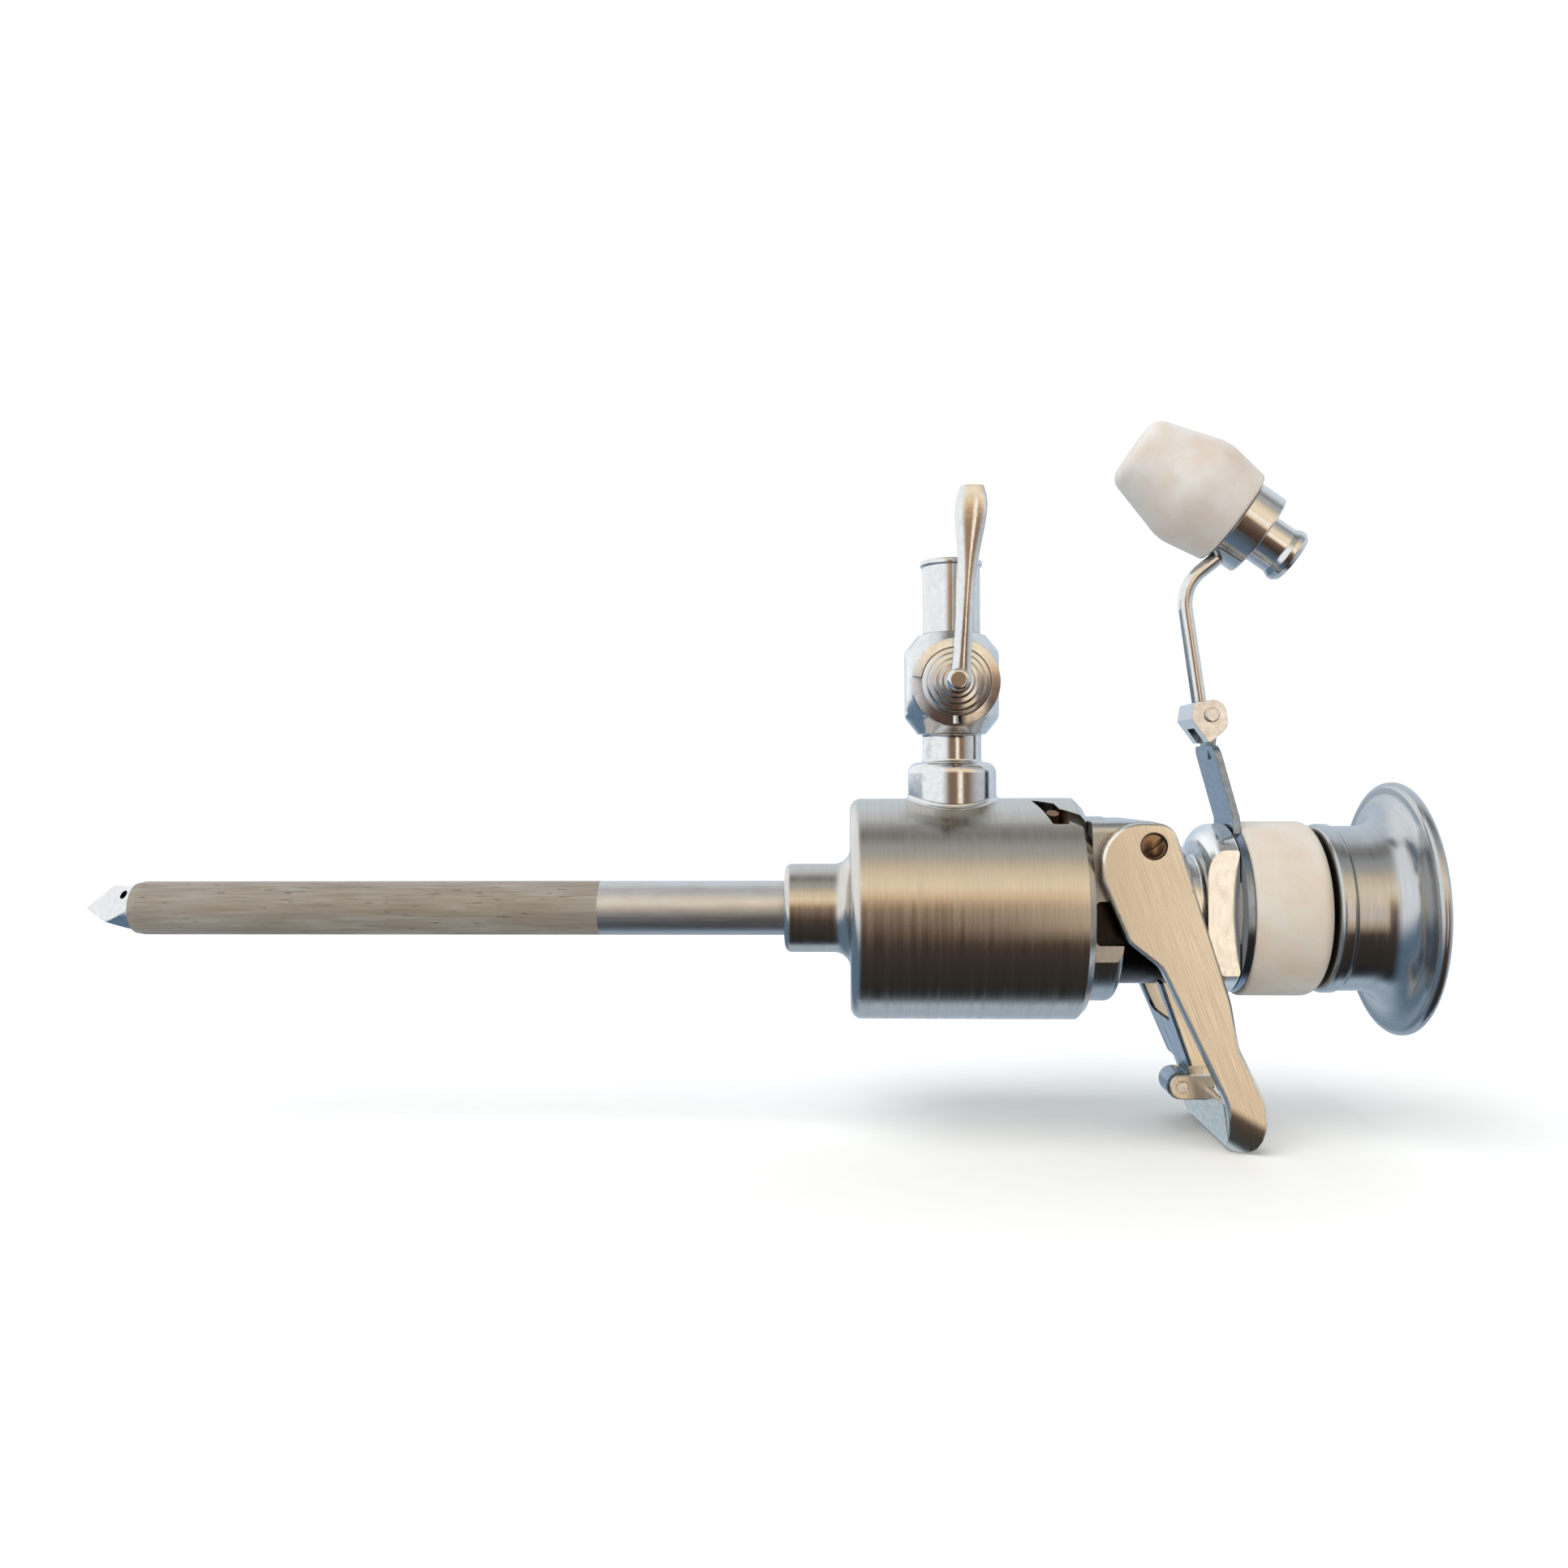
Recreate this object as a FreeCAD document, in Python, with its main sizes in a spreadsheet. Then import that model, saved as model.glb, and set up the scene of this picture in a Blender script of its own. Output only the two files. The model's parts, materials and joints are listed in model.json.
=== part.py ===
import FreeCAD, Part
import math
import os

import Sketcher

# A laparoscopic trocar: an insulated cannula with its valve housing, stopcock, flap valve and
# reducer, and the obturator that is pushed through it. Millimetres; +X runs along the cannula
# towards the hand, +Z is up, and the origin is on the axis at the front face of the nose collar.

SIZES = {
    # Cannula
    "tube_radius": 4.0,
    "tube_bore": 3.55,
    "tube_seat_step": 0.25,
    "shaft_length": 97.7,
    "bare_length": 27.4,
    "insulation": 0.2,
    "insulation_bevel": 1.2,
    "insulation_lip": 0.3,
    # Housing
    "collar_radius": 6.5,
    "collar_length": 9.6,
    "collar_edge": 1.0,
    "collar_flare": 2.4,
    "housing_radius": 16.1,
    "housing_length": 33.2,
    "housing_wall": 2.6,
    "housing_edge": 1.6,
    "housing_chamfer": 1.0,
    "front_wall": 3.0,
    "gas_bore": 1.5,
    # Stopcock
    "stopcock_setback": 15.0,
    "foot_radius": 6.45,
    "foot_height": 5.3,
    "foot_edge": 1.6,
    "throat_radius": 4.3,
    "throat_height": 4.1,
    "barrel_radius": 6.9,
    "barrel_height": 14.4,
    "barrel_bevel": 2.4,
    "barrel_bevel_depth": 1.9,
    "plug_drop": 0.1,
    "boss_radius": 6.2,
    "boss_front": 8.6,
    "boss_back": 7.4,
    "plug_front_radius": 3.7,
    "plug_back_radius": 3.2,
    "plug_fit": 0.05,
    "plug_flange_radius": 4.8,
    "plug_flange_depth": 1.4,
    "plug_rim_gap": 0.12,
    "plug_step_radius": 0.85,
    "plug_step_depth": 0.7,
    "plug_stud_radius": 1.8,
    "plug_stud_length": 3.4,
    "stop_pin_radius": 0.45,
    "stop_pin_reach": 5.9,
    "tap_turn": 90.0,
    "notch_margin": 8.0,
    "washer_radius": 3.8,
    "washer_thickness": 0.6,
    "washer_dish": 0.25,
    "nut_radius": 3.5,
    "nut_thickness": 2.0,
    # Tap lever
    "tap_root_radius": 1.9,
    "tap_root_depth": 2.3,
    "tap_length": 27.5,
    "tap_waist_width": 2.4,
    "tap_blade_width": 4.4,
    "tap_thickness": 1.9,
    "tap_lean": 1.7,
    "tap_offset": 0.3,
    "tap_stand_off": 0.6,
    # Nozzle
    "nozzle_radius": 4.2,
    "nozzle_length": 11.0,
    "nozzle_rim": 0.35,
    "nozzle_rim_length": 0.9,
    "luer_bore": 2.1,
    "luer_depth": 7.5,
    "nozzle_spigot_radius": 2.6,
    "nozzle_spigot_length": 1.6,
    # Valve core
    "core_fit": 0.1,
    "core_front_gap": 16.4,
    "flange_length": 4.3,
    "flange_gap": 0.1,
    "flange_round": 1.2,
    "core_neck_inset": 0.85,
    "core_neck_length": 8.9,
    "passage": 4.0,
    "seal_groove_front": 2.6,
    "seal_cord": 0.9,
    "window_top": 1.9,
    "window_bottom": 4.2,
    "window_floor": 9.6,
    "ear_inset": 1.65,
    "ear_round": 3.35,
    "ear_drop": 7.3,
    "roof_edge": 1.6,
    "chamber_half_width": 5.4,
    "chamber_floor": 5.8,
    "chamber_roof": 11.2,
    "chamber_front": 35.6,
    "lug_headroom": 0.5,
    # Bayonet
    "pin_radius": 0.9,
    "pin_slack": 0.2,
    "pin_setback": 4.6,
    "pin_angle": 26.6,
    "pin_sweep": 12.0,
    "slot_slant": 36.0,
    "pocket_lead": 2.8,
    "pocket_rise": 4.5,
    "pocket_shoulder": 2.6,
    "pocket_lag": 2.0,
    "pocket_drop": 3.4,
    "pocket_depth": 5.0,
    "pin_recess": 0.4,
    "pin_root": 1.6,
    # Lever pivot and yoke
    "pivot_setback": 7.96,
    "pivot_height": 9.6,
    "side_play": 0.15,
    "cheek_thickness": 2.1,
    "lobe_reach": 6.95,
    "lobe_rise": 3.15,
    "lobe_drop": 4.7,
    "lobe_round": 5.4,
    "hip_out": -3.4,
    "hip_drop": 13.2,
    "waist_out": 0.95,
    "waist_drop": 16.6,
    "heel_out": 9.7,
    "heel_drop": 35.1,
    "toe_out": 10.5,
    "toe_drop": 42.2,
    "toe_width": 2.9,
    "ball_out": 15.25,
    "ball_drop": 38.2,
    "sole_out": 14.9,
    "sole_drop": 34.8,
    "calf_out": 11.35,
    "calf_drop": 27.5,
    "thigh_out": 10.25,
    "thigh_drop": 21.1,
    "crown_out": 2.6,
    "foot_corner": 6.0,
    "foot_corner_drop": 31.3,
    "foot_corner_tilt": 30.0,
    "cheek_bevel": 0.35,
    "screw_head_radius": 1.8,
    "screw_head_depth": 1.0,
    "screw_recess": 0.35,
    "screw_slot": 0.5,
    "screw_slot_depth": 0.5,
    "screw_slot_turn": 38.0,
    "shaft_radius": 1.15,
    "screw_length": 6.2,
    "bearing_fit": 0.05,
    # Leaf spring
    "leaf_pin_out": 6.24,
    "leaf_pin_drop": 35.0,
    "leaf_pin_radius": 0.8,
    "leaf_eye_radius": 2.0,
    "leaf_eye_half_width": 2.4,
    "leaf_lug_radius": 1.7,
    "leaf_lug_thickness": 1.1,
    "leaf_lug_gap": 0.2,
    "leaf_thickness": 0.5,
    "leaf_foot_half_width": 6.4,
    "leaf_top_half_width": 9.3,
    "leaf_length": 16.4,
    "leaf_shoulder": 3.1,
    "leaf_corner": 0.8,
    "leaf_fork_round": 2.0,
    "leaf_lean": 21.2,
    "leaf_prong_width": 2.6,
    "leaf_prong_length": 6.6,
    # Flap valve
    "flap_radius": 4.9,
    "flap_thickness": 1.2,
    "flap_seal_radius": 4.6,
    "flap_seal_thickness": 0.7,
    "flap_barrel_radius": 1.85,
    "flap_half_width": 2.2,
    "flap_arm_overlap": 2.5,
    "flap_arm_drop": 0.5,
    "flap_open": 70.0,
    "flap_wire": 0.25,
    "flap_coil_gap": 0.2,
    # Valve neck, caps and clip arm
    "seat_stand": 0.7,
    "seat_wall": 1.1,
    "spigot_radius": 7.0,
    "spigot_length": 3.4,
    "gasket_thickness": 0.5,
    "gasket_radius": 9.0,
    "shoulder_radius": 9.4,
    "shoulder_length": 0.8,
    "neck_radius": 7.4,
    "neck_length": 2.0,
    "grip_radius": 12.3,
    "grip_length": 4.4,
    "grip_round": 2.6,
    "grip_flat": 8.6,
    "stub_radius": 9.6,
    "stub_length": 6.6,
    "stub_lip": 0.35,
    "clip_radius": 12.1,
    "clip_thickness": 1.0,
    "clip_fit": 0.1,
    "clip_gap": 0.1,
    "strap_half_width": 5.0,
    "strap_lean_back": 2.9,
    "strap_bend_height": 13.0,
    "strap_drop": 4.3,
    "cap_radius": 12.6,
    "cap_length": 10.8,
    "cap_round": 1.8,
    "cap_end": 3.0,
    "cap_hole": 4.2,
    "seal_washer_thickness": 0.9,
    "seal_hole": 3.75,
    # Reducer
    "hinge_height": 27.9,
    "hinge_shift": 0.3,
    "hinge_pin_radius": 0.7,
    "knuckle_radius": 1.9,
    "knuckle_half_width": 1.8,
    "fork_gap": 0.15,
    "fork_half_width": 4.2,
    "fork_radius": 2.1,
    "fork_reach": 2.9,
    "fork_heel": 4.0,
    "rod_lean": 8.0,
    "rod_radius": 1.05,
    "rod_rise": 17.2,
    "rod_bend_radius": 6.0,
    "reducer_out": 4.35,
    "reducer_rise": 28.75,
    "reducer_tilt": 35.7,
    "ring_radius": 6.2,
    "ring_length": 4.4,
    "rod_station": 1.9,
    "reducer_nozzle_radius": 3.6,
    "reducer_nozzle_length": 5.9,
    "reducer_rim": 0.4,
    "reducer_rim_length": 2.2,
    "reducer_bore": 2.7,
    "reducer_spigot_radius": 5.2,
    "reducer_spigot_length": 6.0,
    "reducer_cap_foot": 7.2,
    "reducer_cap_belly": 8.3,
    "reducer_cap_end": 5.2,
    "reducer_belly_station": 7.1,
    "reducer_cap_length": 17.9,
    "reducer_cap_round": 2.4,
    "reducer_cap_hole": 2.2,
    "reducer_seal_thickness": 1.0,
    "reducer_seal_hole": 1.6,
    # Obturator
    "obturator_radius": 3.45,
    "tip_length": 13.0,
    "tip_reach": 8.2,
    "tip_half_angle": 21.0,
    "tip_roll": 2.0,
    "tip_spigot_radius": 1.8,
    "tip_spigot_length": 4.0,
    "vent_radius": 0.6,
    "vent_station": 6.7,
    "vent_depth": 2.2,
    "vent_angle": 38.0,
    "head_gap": 0.6,
    "head_bead_radius": 12.2,
    "head_bead_length": 2.0,
    "head_neck_radius": 11.9,
    "head_neck_length": 8.8,
    "head_flare": 4.6,
    "rim_radius": 18.2,
    "rim_thickness": 1.8,
    "rim_round": 0.85,
    "dish_radius": 15.4,
    "dish_depth": 1.3,
    "head_bore_depth": 9.5,
    "head_screw_radius": 3.2,
    "head_screw_depth": 1.6,
    "head_screw_shank": 1.5,
}


# Reach past a face that a cut needs, and the slack for finding an edge by its place.
PAST = 1
TOUCH = 0.01
NUT_SIDES = 6


class Size:
    """A length or angle that keeps the expression it came from, so that sums stay tied to the sheet."""

    def __init__(self, text, value):
        self.text = text
        self.value = value

    def __add__(self, other):
        other = as_size(other)
        return Size("(%s + %s)" % (self.text, other.text), self.value + other.value)

    def __sub__(self, other):
        other = as_size(other)
        return Size("(%s - %s)" % (self.text, other.text), self.value - other.value)

    def __mul__(self, other):
        other = as_size(other)
        return Size("(%s * %s)" % (self.text, other.text), self.value * other.value)

    def __truediv__(self, other):
        other = as_size(other)
        return Size("(%s / %s)" % (self.text, other.text), self.value / other.value)

    def __radd__(self, other):
        return as_size(other) + self

    def __rsub__(self, other):
        return as_size(other) - self

    def __rmul__(self, other):
        return as_size(other) * self

    def __neg__(self):
        return as_size(0) - self


def as_size(number):
    """A plain number as a Size; a Size stays what it is."""
    return number if isinstance(number, Size) else Size("%.6g" % number, float(number))


def sine(angle):
    return Size("sin(%s * 1 deg)" % angle.text, math.sin(math.radians(angle.value)))


def cosine(angle):
    return Size("cos(%s * 1 deg)" % angle.text, math.cos(math.radians(angle.value)))


def tangent(angle):
    return Size("tan(%s * 1 deg)" % angle.text, math.tan(math.radians(angle.value)))


doc = FreeCAD.newDocument("Trocar")


def fill_sheet():
    """Write each driving size into its own cell and return them by name."""
    sheet = doc.addObject("Spreadsheet::Sheet", "Sizes")
    for row, (name, number) in enumerate(SIZES.items(), start=1):
        sheet.set("A%d" % row, name)
        sheet.set("B%d" % row, "%g" % number)
        sheet.setAlias("B%d" % row, name)
    doc.recompute()
    return {name: Size("Sizes.%s" % name, sheet.get(name)) for name in SIZES}


s = fill_sheet()
sub_parts = []


def vector(x, y):
    return FreeCAD.Vector(x, y, 0)


def bind(item, path, amount):
    """Tie one property of an object to the expression of a Size."""
    item.setExpression(path, as_size(amount).text)


def place_sketch(sketch, body, plane, shift, turn):
    """Lay a sketch on one of its body's origin planes, shifted by (u, v, w) and turned in degrees."""
    origin_plane = [item for item in body.Origin.OriginFeatures if item.Role == plane][0]
    sketch.AttachmentSupport = [(origin_plane, "")]
    sketch.MapMode = "FlatFace"
    if turn is not None:
        axis, angle = turn
        rotation = FreeCAD.Rotation(FreeCAD.Vector(*axis), as_size(angle).value)
        sketch.AttachmentOffset = FreeCAD.Placement(FreeCAD.Vector(), rotation)
        bind(sketch, "AttachmentOffset.Rotation.Angle", angle)
    for letter, amount in zip("xyz", shift):
        if isinstance(amount, Size) or amount:
            bind(sketch, "AttachmentOffset.Base.%s" % letter, amount)


def corner_arc(before, here, after, radius):
    """Centre, start, end and turning sense of the arc that rounds a corner."""
    into = (here - before).normalize()
    out = (after - here).normalize()
    cross = into.x * out.y - into.y * out.x
    turn = math.atan2(cross, into.dot(out))
    reach = radius * math.tan(abs(turn) / 2)
    start = here - into * reach
    end = here + out * reach
    side = 1 if cross > 0 else -1
    centre = start + vector(-into.y, into.x) * radius * side
    return centre, start, end, side


def dimension(sketch, kind, geometry, point, amount):
    """Hold one coordinate of a sketch point at a bound distance from the sketch's origin."""
    index = sketch.addConstraint(Sketcher.Constraint(kind, -1, 1, geometry, point, amount.value))
    bind(sketch, "Constraints[%d]" % index, amount)


def hold_point(sketch, geometry, point, x, y):
    """Hold a sketch point at bound coordinates."""
    dimension(sketch, "DistanceX", geometry, point, as_size(x))
    dimension(sketch, "DistanceY", geometry, point, as_size(y))


def draw_outline(sketch, corners, closed=True):
    """Draw straight runs between corners (x, y) or (x, y, radius), each bound to the sheet."""
    points = [vector(as_size(corner[0]).value, as_size(corner[1]).value) for corner in corners]
    count = len(corners)
    rounds = [as_size(corner[2]) if len(corner) > 2 else None for corner in corners]
    arcs = []
    for index in range(count):
        if rounds[index] is None:
            arcs.append(None)
            continue
        before = points[index - 1]
        after = points[(index + 1) % count]
        arcs.append(corner_arc(before, points[index], after, rounds[index].value))
    runs = []
    for index in range(count if closed else count - 1):
        following = (index + 1) % count
        start = arcs[index][2] if arcs[index] else points[index]
        end = arcs[following][1] if arcs[following] else points[following]
        runs.append(sketch.addGeometry(Part.LineSegment(start, end), False))
    for index in range(count):
        if not closed and index in (0, count - 1):
            run = runs[0] if index == 0 else runs[-1]
            hold_point(sketch, run, 1 if index == 0 else 2, corners[index][0], corners[index][1])
            continue
        run_in = runs[index - 1]
        run_out = runs[index]
        if arcs[index] is None:
            sketch.addConstraint(Sketcher.Constraint("Coincident", run_in, 2, run_out, 1))
            hold_point(sketch, run_out, 1, corners[index][0], corners[index][1])
            continue
        centre, start, end, side = arcs[index]
        circle = Part.Circle(centre, FreeCAD.Vector(0, 0, 1), rounds[index].value)
        first = math.atan2(start.y - centre.y, start.x - centre.x)
        last = math.atan2(end.y - centre.y, end.x - centre.x)
        if side < 0:
            first, last = last, first
        arc = sketch.addGeometry(Part.ArcOfCircle(circle, first, last), False)
        arc_in, arc_out = (1, 2) if side > 0 else (2, 1)
        corner = sketch.addGeometry(Part.Point(points[index]), True)
        sketch.addConstraint(Sketcher.Constraint("Tangent", run_in, 2, arc, arc_in))
        sketch.addConstraint(Sketcher.Constraint("Tangent", arc, arc_out, run_out, 1))
        sketch.addConstraint(Sketcher.Constraint("PointOnObject", corner, 1, run_in))
        sketch.addConstraint(Sketcher.Constraint("PointOnObject", corner, 1, run_out))
        hold_point(sketch, corner, 1, corners[index][0], corners[index][1])
        radius = sketch.addConstraint(Sketcher.Constraint("Radius", arc, rounds[index].value))
        bind(sketch, "Constraints[%d]" % radius, rounds[index])


class Piece:
    """One sub-part, built as a body of sketches and features that read the sheet."""

    def __init__(self, label, place=None, turn=None, kept=True):
        self.body = doc.addObject("PartDesign::Body", label)
        self.body.Label = label
        self.count = 0
        if turn is not None:
            axis, angle = turn
            rotation = FreeCAD.Rotation(FreeCAD.Vector(*axis), angle.value)
            self.body.Placement = FreeCAD.Placement(FreeCAD.Vector(), rotation)
            bind(self.body, "Placement.Rotation.Angle", angle)
        if place is not None:
            for letter, amount in zip("xyz", place):
                bind(self.body, "Placement.Base.%s" % letter, amount)
        if kept:
            sub_parts.append(self.body)

    def feature(self, kind):
        self.count += 1
        return self.body.newObject(kind, "%s_%02d" % (self.body.Name, self.count))

    def sketch(self, plane, corners, shift=(0, 0, 0), turn=None, closed=True):
        """A closed outline, or an open path, on an origin plane."""
        sketch = self.feature("Sketcher::SketchObject")
        place_sketch(sketch, self.body, plane, shift, turn)
        draw_outline(sketch, corners, closed)
        return sketch

    def circle(self, plane, x, y, radius, shift=(0, 0, 0), turn=None):
        """A bound circle on an origin plane."""
        sketch = self.feature("Sketcher::SketchObject")
        place_sketch(sketch, self.body, plane, shift, turn)
        x, y, radius = as_size(x), as_size(y), as_size(radius)
        round_line = Part.Circle(vector(x.value, y.value), FreeCAD.Vector(0, 0, 1), radius.value)
        circle = sketch.addGeometry(round_line, False)
        hold_point(sketch, circle, 3, x, y)
        index = sketch.addConstraint(Sketcher.Constraint("Radius", circle, radius.value))
        bind(sketch, "Constraints[%d]" % index, radius)
        return sketch

    def revolve(self, sketch, axis, kind="PartDesign::Revolution", angle=360):
        feature = self.feature(kind)
        feature.Profile = sketch
        feature.ReferenceAxis = (sketch, [axis])
        feature.Angle = as_size(angle).value
        if isinstance(angle, Size):
            bind(feature, "Angle", angle)
        return feature

    def turned(self, corners, along="x", kind="PartDesign::Revolution", shift=(0, 0, 0)):
        """A solid of revolution about the local X, Y or Z axis; corners are (station, radius)."""
        if along == "x":
            return self.revolve(self.sketch("XZ_Plane", corners, shift), "H_Axis", kind)
        plane = "XZ_Plane" if along == "z" else "XY_Plane"
        swapped = [(corner[1], corner[0]) + tuple(corner[2:]) for corner in corners]
        return self.revolve(self.sketch(plane, swapped, shift), "V_Axis", kind)

    def grooved(self, corners, along="x", shift=(0, 0, 0)):
        """A turned cut about the local X, Y or Z axis."""
        return self.turned(corners, along, "PartDesign::Groove", shift)

    def pad(self, sketch, length, reverse=False, both=False):
        feature = self.feature("PartDesign::Pad")
        feature.Profile = sketch
        feature.SideType = "Symmetric" if both else "One side"
        feature.Reversed = reverse
        bind(feature, "Length", length)
        return feature

    def cut(self, sketch, length, reverse=False, both=False):
        feature = self.feature("PartDesign::Pocket")
        feature.Profile = sketch
        feature.SideType = "Symmetric" if both else "One side"
        feature.Reversed = reverse
        bind(feature, "Length", length)
        return feature

    def pattern(self, features, axis, copies):
        """Repeat features evenly round one of the body's origin axes."""
        feature = self.feature("PartDesign::PolarPattern")
        feature.Originals = features
        line = [item for item in self.body.Origin.OriginFeatures if item.Role == axis][0]
        feature.Axis = (line, [""])
        feature.Angle = 360
        feature.Occurrences = copies
        self.body.Tip = feature
        return feature

    def mirror(self, features, plane):
        """Mirror features across one of the body's origin planes."""
        feature = self.feature("PartDesign::Mirrored")
        feature.Originals = features
        face = [item for item in self.body.Origin.OriginFeatures if item.Role == plane][0]
        feature.MirrorPlane = (face, [""])
        self.body.Tip = feature
        return feature

    def round_edges(self, wanted, radius, kind="PartDesign::Fillet"):
        """Round or bevel the edges of the tip that a test picks."""
        doc.recompute()
        base = self.body.Tip
        names = []
        for index, edge in enumerate(base.Shape.Edges, start=1):
            if wanted(edge):
                names.append("Edge%d" % index)
        feature = self.feature(kind)
        feature.Base = (base, names)
        bind(feature, "Radius" if kind.endswith("Fillet") else "Size", radius)
        return feature


# Stations along the axis that more than one piece uses.
housing_front = s["collar_length"]
housing_back = housing_front + s["housing_length"]
housing_inner = s["housing_radius"] - s["housing_wall"]
cavity_front = housing_front + s["front_wall"]
stopcock_x = housing_front + s["stopcock_setback"]
foot_top = s["housing_radius"] + s["foot_height"]
barrel_bottom = foot_top + s["throat_height"]
barrel_top = barrel_bottom + s["barrel_height"]
plug_z = barrel_bottom + s["barrel_height"] / 2 - s["plug_drop"]
flange_front = housing_back + s["flange_gap"]
flange_back = flange_front + s["flange_length"]
core_front = cavity_front + s["core_front_gap"]
core_radius = housing_inner - s["core_fit"]
core_back = flange_back + s["core_neck_length"]
ear_half_width = core_radius - s["ear_inset"]
core_neck_radius = ear_half_width - s["core_neck_inset"]
pivot_x = housing_back + s["pivot_setback"]
pivot_z = s["pivot_height"]
flap_back = s["flap_thickness"] / 4
cheek_inner = ear_half_width + s["side_play"]
cheek_outer = cheek_inner + s["cheek_thickness"]
neck_shoulder = core_back + s["gasket_thickness"]
grip_front = neck_shoulder + s["shoulder_length"] + s["neck_length"]
grip_back = grip_front + s["grip_length"]
clip_front = grip_back + s["clip_gap"]
cap_front = clip_front + s["clip_thickness"] + s["clip_gap"]
cap_back = cap_front + s["cap_length"]
stub_back = cap_front + s["stub_length"]
head_front = cap_back + s["head_gap"]
rim_back = head_front + s["head_neck_length"] + s["head_flare"] * 0.4 + s["rim_thickness"]
tube_end = -s["shaft_length"]
tube_seat_radius = s["tube_radius"] - s["tube_seat_step"]
tip_root = tube_end - s["tip_reach"] + s["tip_length"]
hinge_x = clip_front + s["clip_thickness"] / 2 - s["strap_lean_back"] - s["hinge_shift"]
strap_top = s["hinge_height"] - s["strap_drop"]


def cannula_tube():
    """Steel tube, turned down where the insulation covers it and where it sits in the collar."""
    core = s["tube_radius"] - s["insulation"]
    start = tube_end + s["insulation_lip"]
    tube = Piece("cannula_tube")
    tube.turned([
        (start, s["tube_bore"]),
        (start, core),
        (-s["bare_length"], core),
        (-s["bare_length"], s["tube_radius"]),
        (0, s["tube_radius"]),
        (0, tube_seat_radius),
        (cavity_front, tube_seat_radius),
        (cavity_front, s["tube_bore"]),
    ])


def insulating_sleeve():
    """Insulation that runs over the tube's end in a bevelled lip."""
    core = s["tube_radius"] - s["insulation"]
    sleeve = Piece("insulating_sleeve")
    sleeve.turned([
        (tube_end, s["tube_bore"]),
        (tube_end, core),
        (tube_end + s["insulation_bevel"], s["tube_radius"]),
        (-s["bare_length"], s["tube_radius"]),
        (-s["bare_length"], core),
        (tube_end + s["insulation_lip"], core),
        (tube_end + s["insulation_lip"], s["tube_bore"]),
    ])


def bayonet_slot_outline():
    """Slanted slot for a bayonet pin, on the plane that touches the drum half way along its path."""
    half = s["pin_radius"] + s["pin_slack"]
    along_x = cosine(s["slot_slant"])
    along_y = -sine(s["slot_slant"])
    seat_x = housing_back - s["pin_setback"]
    seat_y = s["pin_setback"] * tangent(s["slot_slant"]) / 2
    beyond = s["pin_setback"] / along_x + half * 2

    def slot_point(run, side):
        return (seat_x + along_x * run - along_y * half * side,
                seat_y + along_y * run + along_x * half * side)

    return [
        slot_point(-half, -1) + (half * 0.95,),
        slot_point(beyond, -1),
        slot_point(beyond, 1),
        slot_point(-half, 1) + (half * 0.95,),
    ]


def bayonet_pocket_outline():
    """Wide end of the slot, slanted round the drum, where the pin is locked."""
    seat_x = housing_back - s["pin_setback"]
    seat_y = s["pin_setback"] * tangent(s["slot_slant"]) / 2
    corner = s["pin_slack"] * 2
    return [
        (seat_x - s["pocket_lead"], seat_y + s["pocket_rise"], corner),
        (seat_x + corner, seat_y + s["pocket_shoulder"], corner),
        (seat_x + s["pocket_lag"], seat_y - s["pocket_drop"], corner),
        (seat_x - corner, seat_y - s["pocket_drop"], corner),
    ]


def valve_housing():
    """Drum with its nose collar, the flare between them, and two bayonet slots in the open rim."""
    housing = Piece("valve_housing")
    housing.turned([
        (0, tube_seat_radius),
        (0, s["collar_radius"], s["collar_edge"]),
        (housing_front, s["collar_radius"], s["collar_flare"]),
        (housing_front, s["housing_radius"], s["housing_edge"]),
        (housing_back - s["housing_chamfer"], s["housing_radius"]),
        (housing_back, s["housing_radius"] - s["housing_chamfer"]),
        (housing_back, housing_inner),
        (cavity_front, housing_inner, s["collar_edge"]),
        (cavity_front, tube_seat_radius),
    ])
    middle = s["pin_angle"] + s["pin_sweep"] / 2
    above = s["housing_radius"] + PAST
    cuts = []
    for outline in (bayonet_slot_outline(), bayonet_pocket_outline()):
        slot = housing.sketch("XY_Plane", outline, turn=((1, 0, 0), middle))
        bind(slot, "AttachmentOffset.Base.y", -above * sine(middle))
        bind(slot, "AttachmentOffset.Base.z", above * cosine(middle))
        cuts.append(housing.cut(slot, s["pocket_depth"]))
    housing.pattern(cuts, "X_Axis", 2)
    gas = housing.circle("XY_Plane", stopcock_x, 0, s["gas_bore"])
    housing.cut(gas, s["housing_radius"] + 1, reverse=True)


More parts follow.
